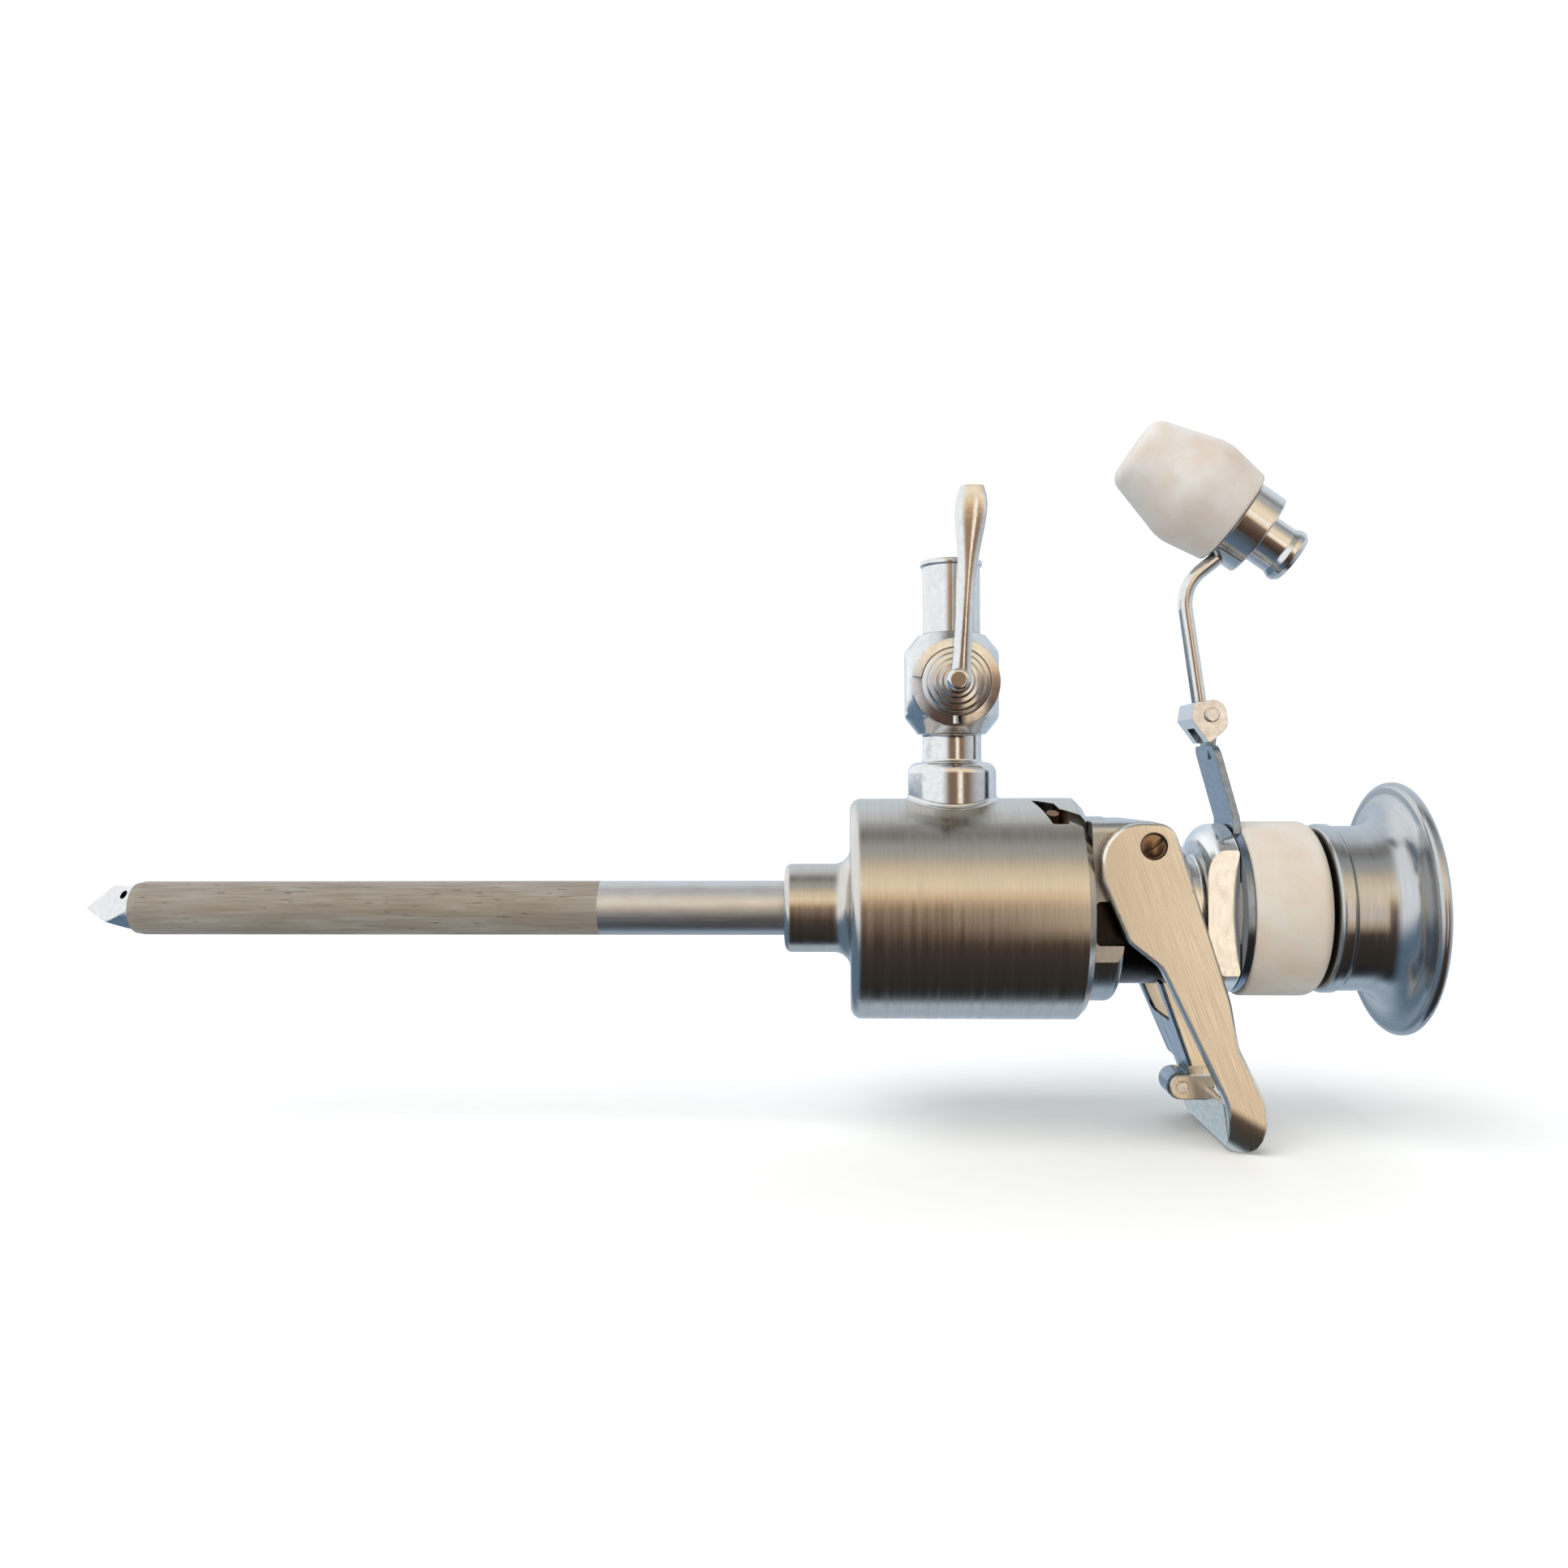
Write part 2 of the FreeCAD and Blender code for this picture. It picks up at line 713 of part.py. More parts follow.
def stopcock_body():
    """Foot, throat and barrel in one turned casting, with the plug's boss across it."""
    body = Piece("stopcock_body", place=(stopcock_x, 0, 0))
    body.turned([
        (housing_inner, 0),
        (housing_inner, s["foot_radius"]),
        (foot_top, s["foot_radius"], s["foot_edge"]),
        (foot_top, s["throat_radius"], 0.4),
        (barrel_bottom, s["throat_radius"], 0.4),
        (barrel_bottom, s["barrel_radius"] - s["barrel_bevel_depth"]),
        (barrel_bottom + s["barrel_bevel"], s["barrel_radius"], 1.5),
        (barrel_top - s["barrel_bevel"], s["barrel_radius"], 1.5),
        (barrel_top, s["barrel_radius"] - s["barrel_bevel_depth"]),
        (barrel_top, 0),
    ], along="z")
    boss = body.circle("XZ_Plane", 0, plug_z, s["boss_radius"], shift=(0, 0, -s["boss_back"]))
    body.pad(boss, s["boss_front"] + s["boss_back"])
    body.grooved([
        (-s["foot_radius"] - 1, 0),
        (-s["foot_radius"] - 1, s["housing_radius"]),
        (s["foot_radius"] + 1, s["housing_radius"]),
        (s["foot_radius"] + 1, 0),
    ])
    plug_seat = s["plug_flange_depth"] - s["boss_front"]
    body.grooved([
        (-s["boss_front"] - 1, 0),
        (-s["boss_front"] - 1, s["plug_flange_radius"] + s["plug_rim_gap"]),
        (plug_seat, s["plug_flange_radius"] + s["plug_rim_gap"]),
        (plug_seat, s["plug_front_radius"] + s["plug_fit"]),
        (s["boss_back"] + 1, s["plug_back_radius"] + s["plug_fit"]),
        (s["boss_back"] + 1, 0),
    ], along="y", shift=(0, 0, plug_z))
    notch_angle = s["tap_turn"] + s["notch_margin"] * 2
    notch = body.sketch(
        "XY_Plane",
        [
            (-s["boss_radius"] - 1, -s["boss_front"] - 1),
            (-s["plug_front_radius"], -s["boss_front"] - 1),
            (-s["plug_front_radius"], plug_seat),
            (-s["boss_radius"] - 1, plug_seat),
        ],
        shift=(0, 0, plug_z),
        turn=((0, 1, 0), s["notch_margin"]),
    )
    notch_cut = body.revolve(notch, "V_Axis", "PartDesign::Groove", notch_angle)
    notch_cut.Reversed = True
    channel = body.circle("XY_Plane", 0, 0, s["gas_bore"])
    body.cut(channel, barrel_top + 1, reverse=True)
    socket = body.circle("XY_Plane", 0, 0, s["nozzle_spigot_radius"], shift=(0, 0, barrel_top))
    body.cut(socket, s["nozzle_spigot_length"])


def luer_nozzle():
    """Nozzle with a rolled rim, brazed into the barrel by its spigot."""
    top = barrel_top + s["nozzle_length"]
    nozzle = Piece("luer_nozzle", place=(stopcock_x, 0, 0))
    nozzle.turned([
        (barrel_top - s["nozzle_spigot_length"], s["gas_bore"]),
        (barrel_top - s["nozzle_spigot_length"], s["nozzle_spigot_radius"]),
        (barrel_top, s["nozzle_spigot_radius"]),
        (barrel_top, s["nozzle_radius"]),
        (top - s["nozzle_rim_length"], s["nozzle_radius"]),
        (top - s["nozzle_rim_length"], s["nozzle_radius"] + s["nozzle_rim"], 0.25),
        (top, s["nozzle_radius"] + s["nozzle_rim"], 0.4),
        (top, s["luer_bore"]),
        (top - s["luer_depth"], s["luer_bore"]),
        (top - s["luer_depth"], s["gas_bore"]),
    ], along="z")


def plug_outline():
    """Plug from its stepped nose through the flange and taper to the stud, as (station, radius)."""
    front = -s["boss_front"]
    seat = front + s["plug_flange_depth"]
    corners = []
    radius = s["plug_flange_radius"]
    station = front
    corners.append((station, radius))
    for step in range(3):
        radius = radius - s["plug_step_radius"]
        corners.append((station, radius + 0.25))
        station = station - s["plug_step_depth"]
        corners.append((station, radius))
    corners.append((station, 0))
    back = s["boss_back"]
    stud_end = back + s["plug_stud_length"]
    return [
        (stud_end, 0),
        (stud_end, s["plug_stud_radius"], 0.4),
        (back, s["plug_stud_radius"]),
        (back, s["plug_back_radius"]),
        (seat, s["plug_front_radius"]),
        (seat, s["plug_flange_radius"]),
    ] + corners


plug_nose = -s["boss_front"] - s["plug_step_depth"] * 3


def stopcock_plug():
    """Tapered plug with its cross bore in line with the flow while the tap is open."""
    plug = Piece("stopcock_plug", place=(stopcock_x, 0, plug_z))
    plug.turned(plug_outline(), along="y")
    bore = plug.circle("XY_Plane", 0, 0, s["gas_bore"])
    plug.cut(bore, s["boss_radius"] * 2, both=True)
    pin_y = -s["boss_front"] + s["plug_flange_depth"] / 2
    pin_hole = plug.circle("XY_Plane", 0, pin_y, s["stop_pin_radius"])
    plug.cut(pin_hole, s["plug_flange_radius"] + 1)


def tap_stop_pin():
    """Short pin in the plug's flange that runs in the boss's notch."""
    pin = Piece("tap_stop_pin", place=(stopcock_x, 0, plug_z))
    pin_y = -s["boss_front"] + s["plug_flange_depth"] / 2
    section = pin.circle("XY_Plane", 0, pin_y, s["stop_pin_radius"], shift=(0, 0, -s["stop_pin_reach"]))
    pin.pad(section, s["stop_pin_reach"] - s["plug_front_radius"] / 2)


def plug_spring_washer():
    """Dished washer that draws the taper home."""
    washer = Piece("plug_spring_washer", place=(stopcock_x, 0, plug_z))
    front = s["boss_back"] + s["plug_fit"]
    washer.turned([
        (front, s["plug_stud_radius"] + 0.02),
        (front + 0.25, s["washer_radius"]),
        (front + 0.25 + s["washer_thickness"], s["washer_radius"]),
        (front + s["washer_thickness"], s["plug_stud_radius"] + 0.02),
    ], along="y")


def plug_nut():
    """Hexagon nut on the plug's stud."""
    nut = Piece("plug_nut", place=(stopcock_x, 0, plug_z))
    front = s["boss_back"] + s["plug_fit"] + s["washer_thickness"] + s["washer_dish"]
    reach = s["nut_radius"] / cosine(as_size(180 / NUT_SIDES))
    corners = []
    for side in range(NUT_SIDES):
        angle = as_size(360 / NUT_SIDES * side)
        corners.append((reach * cosine(angle), reach * sine(angle)))
    outline = nut.sketch("XZ_Plane", corners, shift=(0, 0, -front - s["nut_thickness"]))
    nut.pad(outline, s["nut_thickness"])
    hole = nut.circle("XZ_Plane", 0, 0, s["plug_stud_radius"], shift=(0, 0, -front))
    nut.cut(hole, s["nut_thickness"])


def ellipse_sketch(piece, x, y, width, depth, height):
    """An elliptical section, width along X and depth along Y, at a height."""
    sketch = piece.feature("Sketcher::SketchObject")
    place_sketch(sketch, piece.body, "XY_Plane", (0, 0, height), None)
    x, y, width, depth = as_size(x), as_size(y), as_size(width) / 2, as_size(depth) / 2
    centre = vector(x.value, y.value)
    right = vector(x.value + width.value, y.value)
    near = vector(x.value, y.value + depth.value)
    ellipse = sketch.addGeometry(Part.Ellipse(right, near, centre), False)
    sketch.exposeInternalGeometry(ellipse)
    hold_point(sketch, ellipse, 3, x, y)
    hold_point(sketch, ellipse + 1, 1 if sketch.Geometry[ellipse + 1].StartPoint.x > x.value else 2,
               x + width, y)
    minor_start = sketch.Geometry[ellipse + 2].StartPoint.y > y.value
    dimension(sketch, "DistanceY", ellipse + 2, 1 if minor_start else 2, y + depth)
    return sketch


def tap_lever():
    """Slim spoon-shaped lever, lofted from its waist to the blade, on a short round root."""
    lever = Piece("tap_lever", place=(stopcock_x, 0, plug_z))
    root_front = plug_nose - s["tap_root_depth"]
    lever.turned([
        (plug_nose, 0),
        (plug_nose, s["tap_root_radius"]),
        (root_front, s["tap_root_radius"] * 0.8, 0.6),
        (root_front, 0),
    ], along="y")
    middle_y = plug_nose - s["tap_root_depth"] / 2
    blade_y = middle_y - s["tap_stand_off"]
    sections = [
        (0.0, s["tap_root_radius"] * 1.7, 1.0),
        (0.28, s["tap_waist_width"], 1.05),
        (0.5, s["tap_waist_width"], 1.0),
        (0.74, s["tap_blade_width"] * 0.86, 0.95),
        (0.9, s["tap_blade_width"], 0.9),
        (0.985, s["tap_blade_width"] * 0.7, 0.6),
    ]
    sketches = []
    for share, width, thickness in sections:
        height = s["tap_length"] * share - s["tap_root_radius"] * 0.2
        lean = s["tap_offset"] + s["tap_lean"] * share
        y = middle_y + (blade_y - middle_y) * share
        sketches.append(ellipse_sketch(lever, lean, y, width, s["tap_thickness"] * thickness, height))
    loft = lever.feature("PartDesign::AdditiveLoft")
    loft.Profile = sketches[0]
    loft.Sections = sketches[1:]
    loft.Ruled = False


def valve_core():
    """Bayonet insert: skirt, flange with its windows, chamber roof and the two ears of the pivot."""
    groove_front = core_front + s["seal_groove_front"]
    groove_back = groove_front + s["seal_cord"] * 2.6
    groove_floor = core_radius - s["seal_cord"] * 1.4
    core = Piece("valve_core")
    roof = pivot_z + s["ear_round"]
    ear_back = pivot_x + s["ear_round"]
    ear_floor = pivot_z - s["ear_drop"]
    saddle = core.sketch("YZ_Plane", [
        (-ear_half_width, ear_floor),
        (ear_half_width, ear_floor),
        (ear_half_width, roof, s["roof_edge"]),
        (-ear_half_width, roof, s["roof_edge"]),
    ], shift=(0, 0, flange_front))
    core.pad(saddle, ear_back - flange_front)
    end_start = ear_back - s["ear_round"] - 1
    ear_end = core.sketch("XZ_Plane", [
        (end_start, roof + 1),
        (ear_back + 1, roof + 1),
        (ear_back + 1, ear_floor - 1),
        (end_start, ear_floor - 1),
        (end_start, ear_floor),
        (ear_back, ear_floor, s["ear_round"]),
        (ear_back, roof, s["ear_round"]),
        (end_start, roof),
    ])
    core.cut(ear_end, ear_half_width * 2 + 1, both=True)
    core.turned([
        (core_front, 0),
        (core_front, core_radius, 0.5),
        (groove_front, core_radius),
        (groove_front, groove_floor),
        (groove_back, groove_floor),
        (groove_back, core_radius),
        (flange_back, core_radius, s["flange_round"]),
        (flange_back, core_neck_radius),
        (core_back, core_neck_radius, 0.6),
        (core_back, 0),
    ])
    chamber = core.sketch("XZ_Plane", [
        (s["chamber_front"], -s["chamber_floor"]),
        (core_back - s["spigot_length"], -s["chamber_floor"]),
        (core_back - s["spigot_length"], pivot_z + s["flap_barrel_radius"] + s["lug_headroom"]),
        (pivot_x - s["flap_barrel_radius"] - s["lug_headroom"] - 0.5,
         pivot_z + s["flap_barrel_radius"] + s["lug_headroom"]),
        (pivot_x - s["flap_barrel_radius"] - s["lug_headroom"] - 1.4, s["chamber_roof"]),
        (s["chamber_front"], s["chamber_roof"]),
    ])
    core.cut(chamber, s["chamber_half_width"] * 2, both=True)
    core.grooved([
        (core_front - 1, 0),
        (core_front - 1, s["passage"]),
        (s["chamber_front"] + 1, s["passage"]),
        (s["chamber_front"] + 1, 0),
    ])
    core.grooved([
        (core_back - s["spigot_length"] - 0.01, 0),
        (core_back - s["spigot_length"] - 0.01, s["spigot_radius"]),
        (core_back + 1, s["spigot_radius"]),
        (core_back + 1, 0),
    ])
    window = core.sketch("XZ_Plane", [
        (flange_front + 0.5, -s["window_bottom"], 0.6),
        (flange_back + 1, -s["window_bottom"]),
        (flange_back + 1, s["window_top"]),
        (flange_front + 0.5, s["window_top"], 0.6),
    ], shift=(0, 0, core_radius + 1))
    near_window = core.cut(window, core_radius + 1 - s["window_floor"])
    core.mirror([near_window], "XZ_Plane")
    side_flat = core.sketch("XZ_Plane", [
        (flange_front - 0.05, -core_radius - 1),
        (flange_back + 0.05, -core_radius - 1),
        (flange_back + 0.05, core_radius + 1),
        (flange_front - 0.05, core_radius + 1),
    ], shift=(0, 0, ear_half_width))
    near_flat = core.cut(side_flat, s["housing_wall"], reverse=True)
    core.mirror([near_flat], "XZ_Plane")
    pivot = core.circle("XZ_Plane", pivot_x, pivot_z, s["shaft_radius"])
    core.cut(pivot, ear_half_width * 2 + 2, both=True)
    pin_hole = core.circle(
        "XY_Plane", housing_back - s["pin_setback"], 0, s["pin_radius"],
        turn=((1, 0, 0), s["pin_angle"]))
    bind(pin_hole, "AttachmentOffset.Base.y", -(core_radius + 1) * sine(s["pin_angle"]))
    bind(pin_hole, "AttachmentOffset.Base.z", (core_radius + 1) * cosine(s["pin_angle"]))
    pin_cut = core.cut(pin_hole, s["pin_root"] + 1)
    core.pattern([pin_cut], "X_Axis", 2)


def rounded_bar(label, radius, length):
    """A plain cylinder object with bound sizes, for pieces that are gathered in a group."""
    bar = doc.addObject("Part::Cylinder", label)
    bind(bar, "Radius", radius)
    bind(bar, "Height", length)
    return bar


def bayonet_pins():
    """Two radial pins, one each side, that run in the drum's slots."""
    root = core_radius - s["pin_root"]
    length = s["housing_radius"] - s["pin_recess"] - root
    pins = []
    for side in range(2):
        angle = s["pin_angle"] + 180.0 * side
        pin = rounded_bar("bayonet_pin_%d" % (side + 1), s["pin_radius"], length)
        pin.Placement = FreeCAD.Placement(
            FreeCAD.Vector(), FreeCAD.Rotation(FreeCAD.Vector(1, 0, 0), angle.value))
        bind(pin, "Placement.Rotation.Angle", angle)
        bind(pin, "Placement.Base.x", housing_back - s["pin_setback"])
        bind(pin, "Placement.Base.y", -root * sine(angle))
        bind(pin, "Placement.Base.z", root * cosine(angle))
        pins.append(pin)
    group = doc.addObject("Part::Compound", "bayonet_pins")
    group.Links = pins
    sub_parts.append(group)


def core_seal_ring():
    """Cord ring in the core's groove, just clear of the drum's wall."""
    ring = doc.addObject("Part::Torus", "core_seal_ring")
    groove_middle = core_front + s["seal_groove_front"] + s["seal_cord"] * 1.3
    cord = s["seal_cord"]
    bind(ring, "Radius1", core_radius - cord * 1.4 + cord * 0.72)
    bind(ring, "Radius2", cord * 0.7)
    ring.Placement = FreeCAD.Placement(
        FreeCAD.Vector(), FreeCAD.Rotation(FreeCAD.Vector(0, 1, 0), 90))
    bind(ring, "Placement.Base.x", groove_middle)
    sub_parts.append(ring)


def valve_neck():
    """Screwed-in neck: flap seat, spigot, waist, gripping flange with two flats, and the cap's stub."""
    seat = core_back - s["spigot_length"] - s["seat_stand"]
    neck = Piece("valve_neck")
    neck.turned([
        (seat, s["passage"]),
        (seat, s["passage"] + s["seat_wall"]),
        (core_back - s["spigot_length"], s["passage"] + s["seat_wall"]),
        (core_back - s["spigot_length"], s["spigot_radius"]),
        (neck_shoulder, s["spigot_radius"]),
        (neck_shoulder, s["shoulder_radius"], 0.3),
        (neck_shoulder + s["shoulder_length"], s["shoulder_radius"], 0.3),
        (neck_shoulder + s["shoulder_length"], s["neck_radius"]),
        (grip_front, s["neck_radius"], 0.5),
        (grip_front, s["grip_radius"], s["grip_round"]),
        (grip_back, s["grip_radius"], 0.4),
        (grip_back, s["stub_radius"]),
        (stub_back - 2, s["stub_radius"]),
        (stub_back - 1.4, s["stub_radius"] + s["stub_lip"]),
        (stub_back - 0.8, s["stub_radius"] + s["stub_lip"]),
        (stub_back, s["stub_radius"] - 0.3),
        (stub_back, s["passage"] + 1.5),
        (stub_back - 1.5, s["passage"]),
    ])
    flat = neck.sketch("XZ_Plane", [
        (grip_front - 0.5, -s["grip_radius"] - 1),
        (grip_back + 0.05, -s["grip_radius"] - 1),
        (grip_back + 0.05, s["grip_radius"] + 1),
        (grip_front - 0.5, s["grip_radius"] + 1),
    ], shift=(0, 0, s["grip_flat"]))
    near_flat = neck.cut(flat, s["grip_radius"], reverse=True)
    neck.mirror([near_flat], "XZ_Plane")


def neck_gasket():
    """Flat gasket between core and neck."""
    gasket = Piece("neck_gasket")
    gasket.turned([
        (core_back, s["spigot_radius"]),
        (core_back, s["gasket_radius"]),
        (neck_shoulder, s["gasket_radius"]),
        (neck_shoulder, s["spigot_radius"]),
    ])


screw_inner = cheek_outer - s["screw_length"]


def flap_shaft():
    """Shaft across the chamber that the flap turns on."""
    shaft = Piece("flap_shaft", place=(pivot_x, 0, pivot_z))
    section = shaft.circle("XZ_Plane", 0, 0, s["shaft_radius"])
    shaft.pad(section, screw_inner * 2, both=True)


def flap_arm_outline():
    """Side view of the flap's arm, from its disc up to the barrel round the shaft."""
    foot = s["flap_radius"] - pivot_z - s["flap_arm_overlap"]
    return [
        (flap_back - s["flap_thickness"], foot),
        (flap_back, foot),
        (flap_back, -s["flap_arm_drop"]),
        (-s["flap_thickness"], -s["flap_arm_drop"]),
    ]


def valve_flap():
    """Flap disc with its arm and barrel; drawn shut under the shaft, then swung open."""
    flap = Piece("valve_flap", place=(pivot_x, 0, pivot_z), turn=((0, 1, 0), s["flap_open"]))
    disc = flap.circle("YZ_Plane", 0, -pivot_z, s["flap_radius"], shift=(0, 0, flap_back))
    flap.pad(disc, s["flap_thickness"], reverse=True)
    arm = flap.sketch("XZ_Plane", flap_arm_outline())
    flap.pad(arm, s["flap_half_width"] * 2, both=True)
    barrel = flap.circle("XZ_Plane", 0, 0, s["flap_barrel_radius"])
    flap.pad(barrel, s["flap_half_width"] * 2, both=True)
    bore = flap.circle("XZ_Plane", 0, 0, s["shaft_radius"] + s["bearing_fit"])
    flap.cut(bore, s["flap_half_width"] * 2 + 1, both=True)


def flap_seal():
    """Soft disc on the sealing side of the flap."""
    seal = Piece("flap_seal", place=(pivot_x, 0, pivot_z), turn=((0, 1, 0), s["flap_open"]))
    disc = seal.circle("YZ_Plane", 0, -pivot_z, s["flap_seal_radius"], shift=(0, 0, flap_back))
    seal.pad(disc, s["flap_seal_thickness"])


def flap_spring():
    """Torsion coil on the shaft beside the flap's barrel."""
    wire = s["flap_wire"]
    spring = Piece("flap_spring", place=(pivot_x, 0, pivot_z))
    start = s["flap_half_width"] + s["flap_coil_gap"] + wire
    room = s["chamber_half_width"] - s["flap_half_width"] - s["flap_coil_gap"] * 2 - wire * 2
    section = spring.circle("XY_Plane", s["shaft_radius"] + wire + 0.08, start, wire)
    coil = spring.feature("PartDesign::AdditiveHelix")
    coil.Profile = section
    coil.ReferenceAxis = (section, ["V_Axis"])
    coil.Mode = "pitch-height-angle"
    bind(coil, "Pitch", room / 4)
    bind(coil, "Height", room)


def cheek_outline():
    """Side view of a lever cheek: lobe round the pivot, bent leg and rounded foot."""
    crown = pivot_z + s["lobe_rise"]
    toe_x = pivot_x + s["toe_out"]
    toe_z = pivot_z - s["toe_drop"]
    return [
        (pivot_x - s["lobe_reach"], crown, s["lobe_round"]),
        (pivot_x - s["lobe_reach"], pivot_z - s["lobe_drop"], 3.0),
        (pivot_x + s["hip_out"], pivot_z - s["hip_drop"], 2.5),
        (pivot_x + s["waist_out"], pivot_z - s["waist_drop"], 4.0),
        (pivot_x + s["heel_out"], pivot_z - s["heel_drop"], 8.0),
        (toe_x, toe_z, 1.3),
        (toe_x + s["toe_width"], toe_z, 2.0),
        (pivot_x + s["ball_out"], pivot_z - s["ball_drop"], 2.6),
        (pivot_x + s["sole_out"], pivot_z - s["sole_drop"], 3.0),
        (pivot_x + s["calf_out"], pivot_z - s["calf_drop"], 6.0),
        (pivot_x + s["thigh_out"], pivot_z - s["thigh_drop"], 12.0),
        (pivot_x + s["crown_out"], crown, 2.8),
    ]


def finger_pad_outline():
    """Side view of the pad that joins the two feet; it shares their toe and sole."""
    toe_x = pivot_x + s["toe_out"]
    toe_z = pivot_z - s["toe_drop"]
    heel_z = pivot_z - s["heel_drop"]
    return [
        (pivot_x + s["heel_out"] - 0.2, heel_z + 0.3, 0.6),
        (toe_x, toe_z, 1.3),
        (toe_x + s["toe_width"], toe_z, 2.0),
        (pivot_x + s["ball_out"], pivot_z - s["ball_drop"], 2.6),
        (pivot_x + s["sole_out"] - 0.2, pivot_z - s["sole_drop"] - 0.6, 0.8),
    ]


def foot_corner_outline():
    """What is cut from the yoke's lower corners, seen from the front; heights are from the pivot."""
    low = -s["foot_corner_drop"]
    high = low + s["foot_corner"] + 1
    beyond = cheek_outer + 1
    return [
        (-beyond, high),
        (-cheek_outer, high),
        (-cheek_outer, low, s["foot_corner"]),
        (cheek_outer, low, s["foot_corner"]),
        (cheek_outer, high),
        (beyond, high),
        (beyond, low - s["cheek_thickness"] * 2),
        (-beyond, low - s["cheek_thickness"] * 2),
    ]


def yoke_lever():
    """Valve lever: two bevelled cheeks, the finger pad between their feet, and the leaf's two lugs."""
    lever = Piece("yoke_lever")
    for side in (1, -1):
        shift = cheek_outer if side > 0 else -cheek_inner
        cheek = lever.sketch("XZ_Plane", cheek_outline(), shift=(0, 0, shift))
        lever.pad(cheek, s["cheek_thickness"], reverse=True)
    lever.round_edges(
        lambda edge: abs(edge.BoundBox.YMin) > cheek_outer.value - 0.01
        and edge.BoundBox.YLength < 0.01,
        s["cheek_bevel"], "PartDesign::Chamfer")
    pad_section = lever.sketch("XZ_Plane", finger_pad_outline())
    lever.pad(pad_section, cheek_inner * 2 + 0.5, both=True)
    corners = lever.sketch(
        "YZ_Plane", foot_corner_outline(), shift=(0, pivot_z, pivot_x),
        turn=((1, 0, 0), s["foot_corner_tilt"]))
    lever.cut(corners, s["foot_corner_drop"] * 2.5, both=True)
    lug_x = pivot_x + s["leaf_pin_out"]
    lug_z = pivot_z - s["leaf_pin_drop"]
    radius = s["leaf_lug_radius"]
    lug_outline = [
        (lug_x - radius, lug_z + radius, radius - 0.02),
        (lug_x - radius, lug_z - radius, radius - 0.02),
        (lug_x + s["heel_out"] - s["leaf_pin_out"] + 1, lug_z - radius),
        (lug_x + s["heel_out"] - s["leaf_pin_out"] + 1, lug_z + radius),
    ]
    for side in (1, -1):
        inner = s["leaf_eye_half_width"] + s["leaf_lug_gap"]
        shift = inner + s["leaf_lug_thickness"] if side > 0 else -inner
        lug = lever.sketch("XZ_Plane", lug_outline, shift=(0, 0, shift))
        lever.pad(lug, s["leaf_lug_thickness"], reverse=True)
    pin_hole = lever.circle("XZ_Plane", lug_x, lug_z, s["leaf_pin_radius"])
    lever.cut(pin_hole, (s["leaf_eye_half_width"] + s["leaf_lug_thickness"]) * 2 + 2, both=True)
    pivot = lever.circle("XZ_Plane", pivot_x, pivot_z, s["shaft_radius"] + s["bearing_fit"])
    lever.cut(pivot, cheek_outer * 2 + 1, both=True)
    sink_depth = s["screw_head_depth"] + s["screw_recess"]
    for side in (1, -1):
        outer = -cheek_outer * side
        lever.grooved([
            (outer, 0),
            (outer, s["screw_head_radius"] + s["bearing_fit"]),
            (outer + sink_depth * side, s["screw_head_radius"] + s["bearing_fit"]),
            (outer + sink_depth * side, 0),
        ], along="y", shift=(pivot_x, 0, pivot_z))


def pivot_screws():
    """Slotted screws that hold the cheeks; the far one is the near one mirrored."""
    head_y = -cheek_outer + s["screw_recess"]
    screw = Piece("pivot_screw", place=(pivot_x, 0, pivot_z), kept=False)
    screw.turned([
        (head_y, 0),
        (head_y, s["screw_head_radius"], 0.15),
        (head_y + s["screw_head_depth"], s["screw_head_radius"]),
        (head_y + s["screw_head_depth"], s["shaft_radius"]),
        (-screw_inner, s["shaft_radius"]),
        (-screw_inner, 0),
    ], along="y")
    half = s["screw_slot"] / 2
    reach = s["screw_head_radius"] + 1
    slot = screw.sketch("XZ_Plane", [
        (-reach, -half), (reach, -half), (reach, half), (-reach, half),
    ], shift=(0, 0, -head_y), turn=((0, 0, 1), s["screw_slot_turn"]))
    screw.cut(slot, s["screw_slot_depth"])
    far = doc.addObject("Part::Mirroring", "pivot_screw_far")
    far.Source = screw.body
    far.Normal = FreeCAD.Vector(0, 1, 0)
    group = doc.addObject("Part::Compound", "pivot_screws")
    group.Links = [screw.body, far]
    sub_parts.append(group)


def yoke_cross_pin():
    """Pin through the lugs that carries the leaf's rolled eye."""
    pin = Piece("yoke_cross_pin", place=(pivot_x + s["leaf_pin_out"], 0, pivot_z - s["leaf_pin_drop"]))
    section = pin.circle("XZ_Plane", 0, 0, s["leaf_pin_radius"])
    reach = s["leaf_eye_half_width"] + s["leaf_lug_gap"] + s["leaf_lug_thickness"]
    pin.pad(section, reach * 2, both=True)


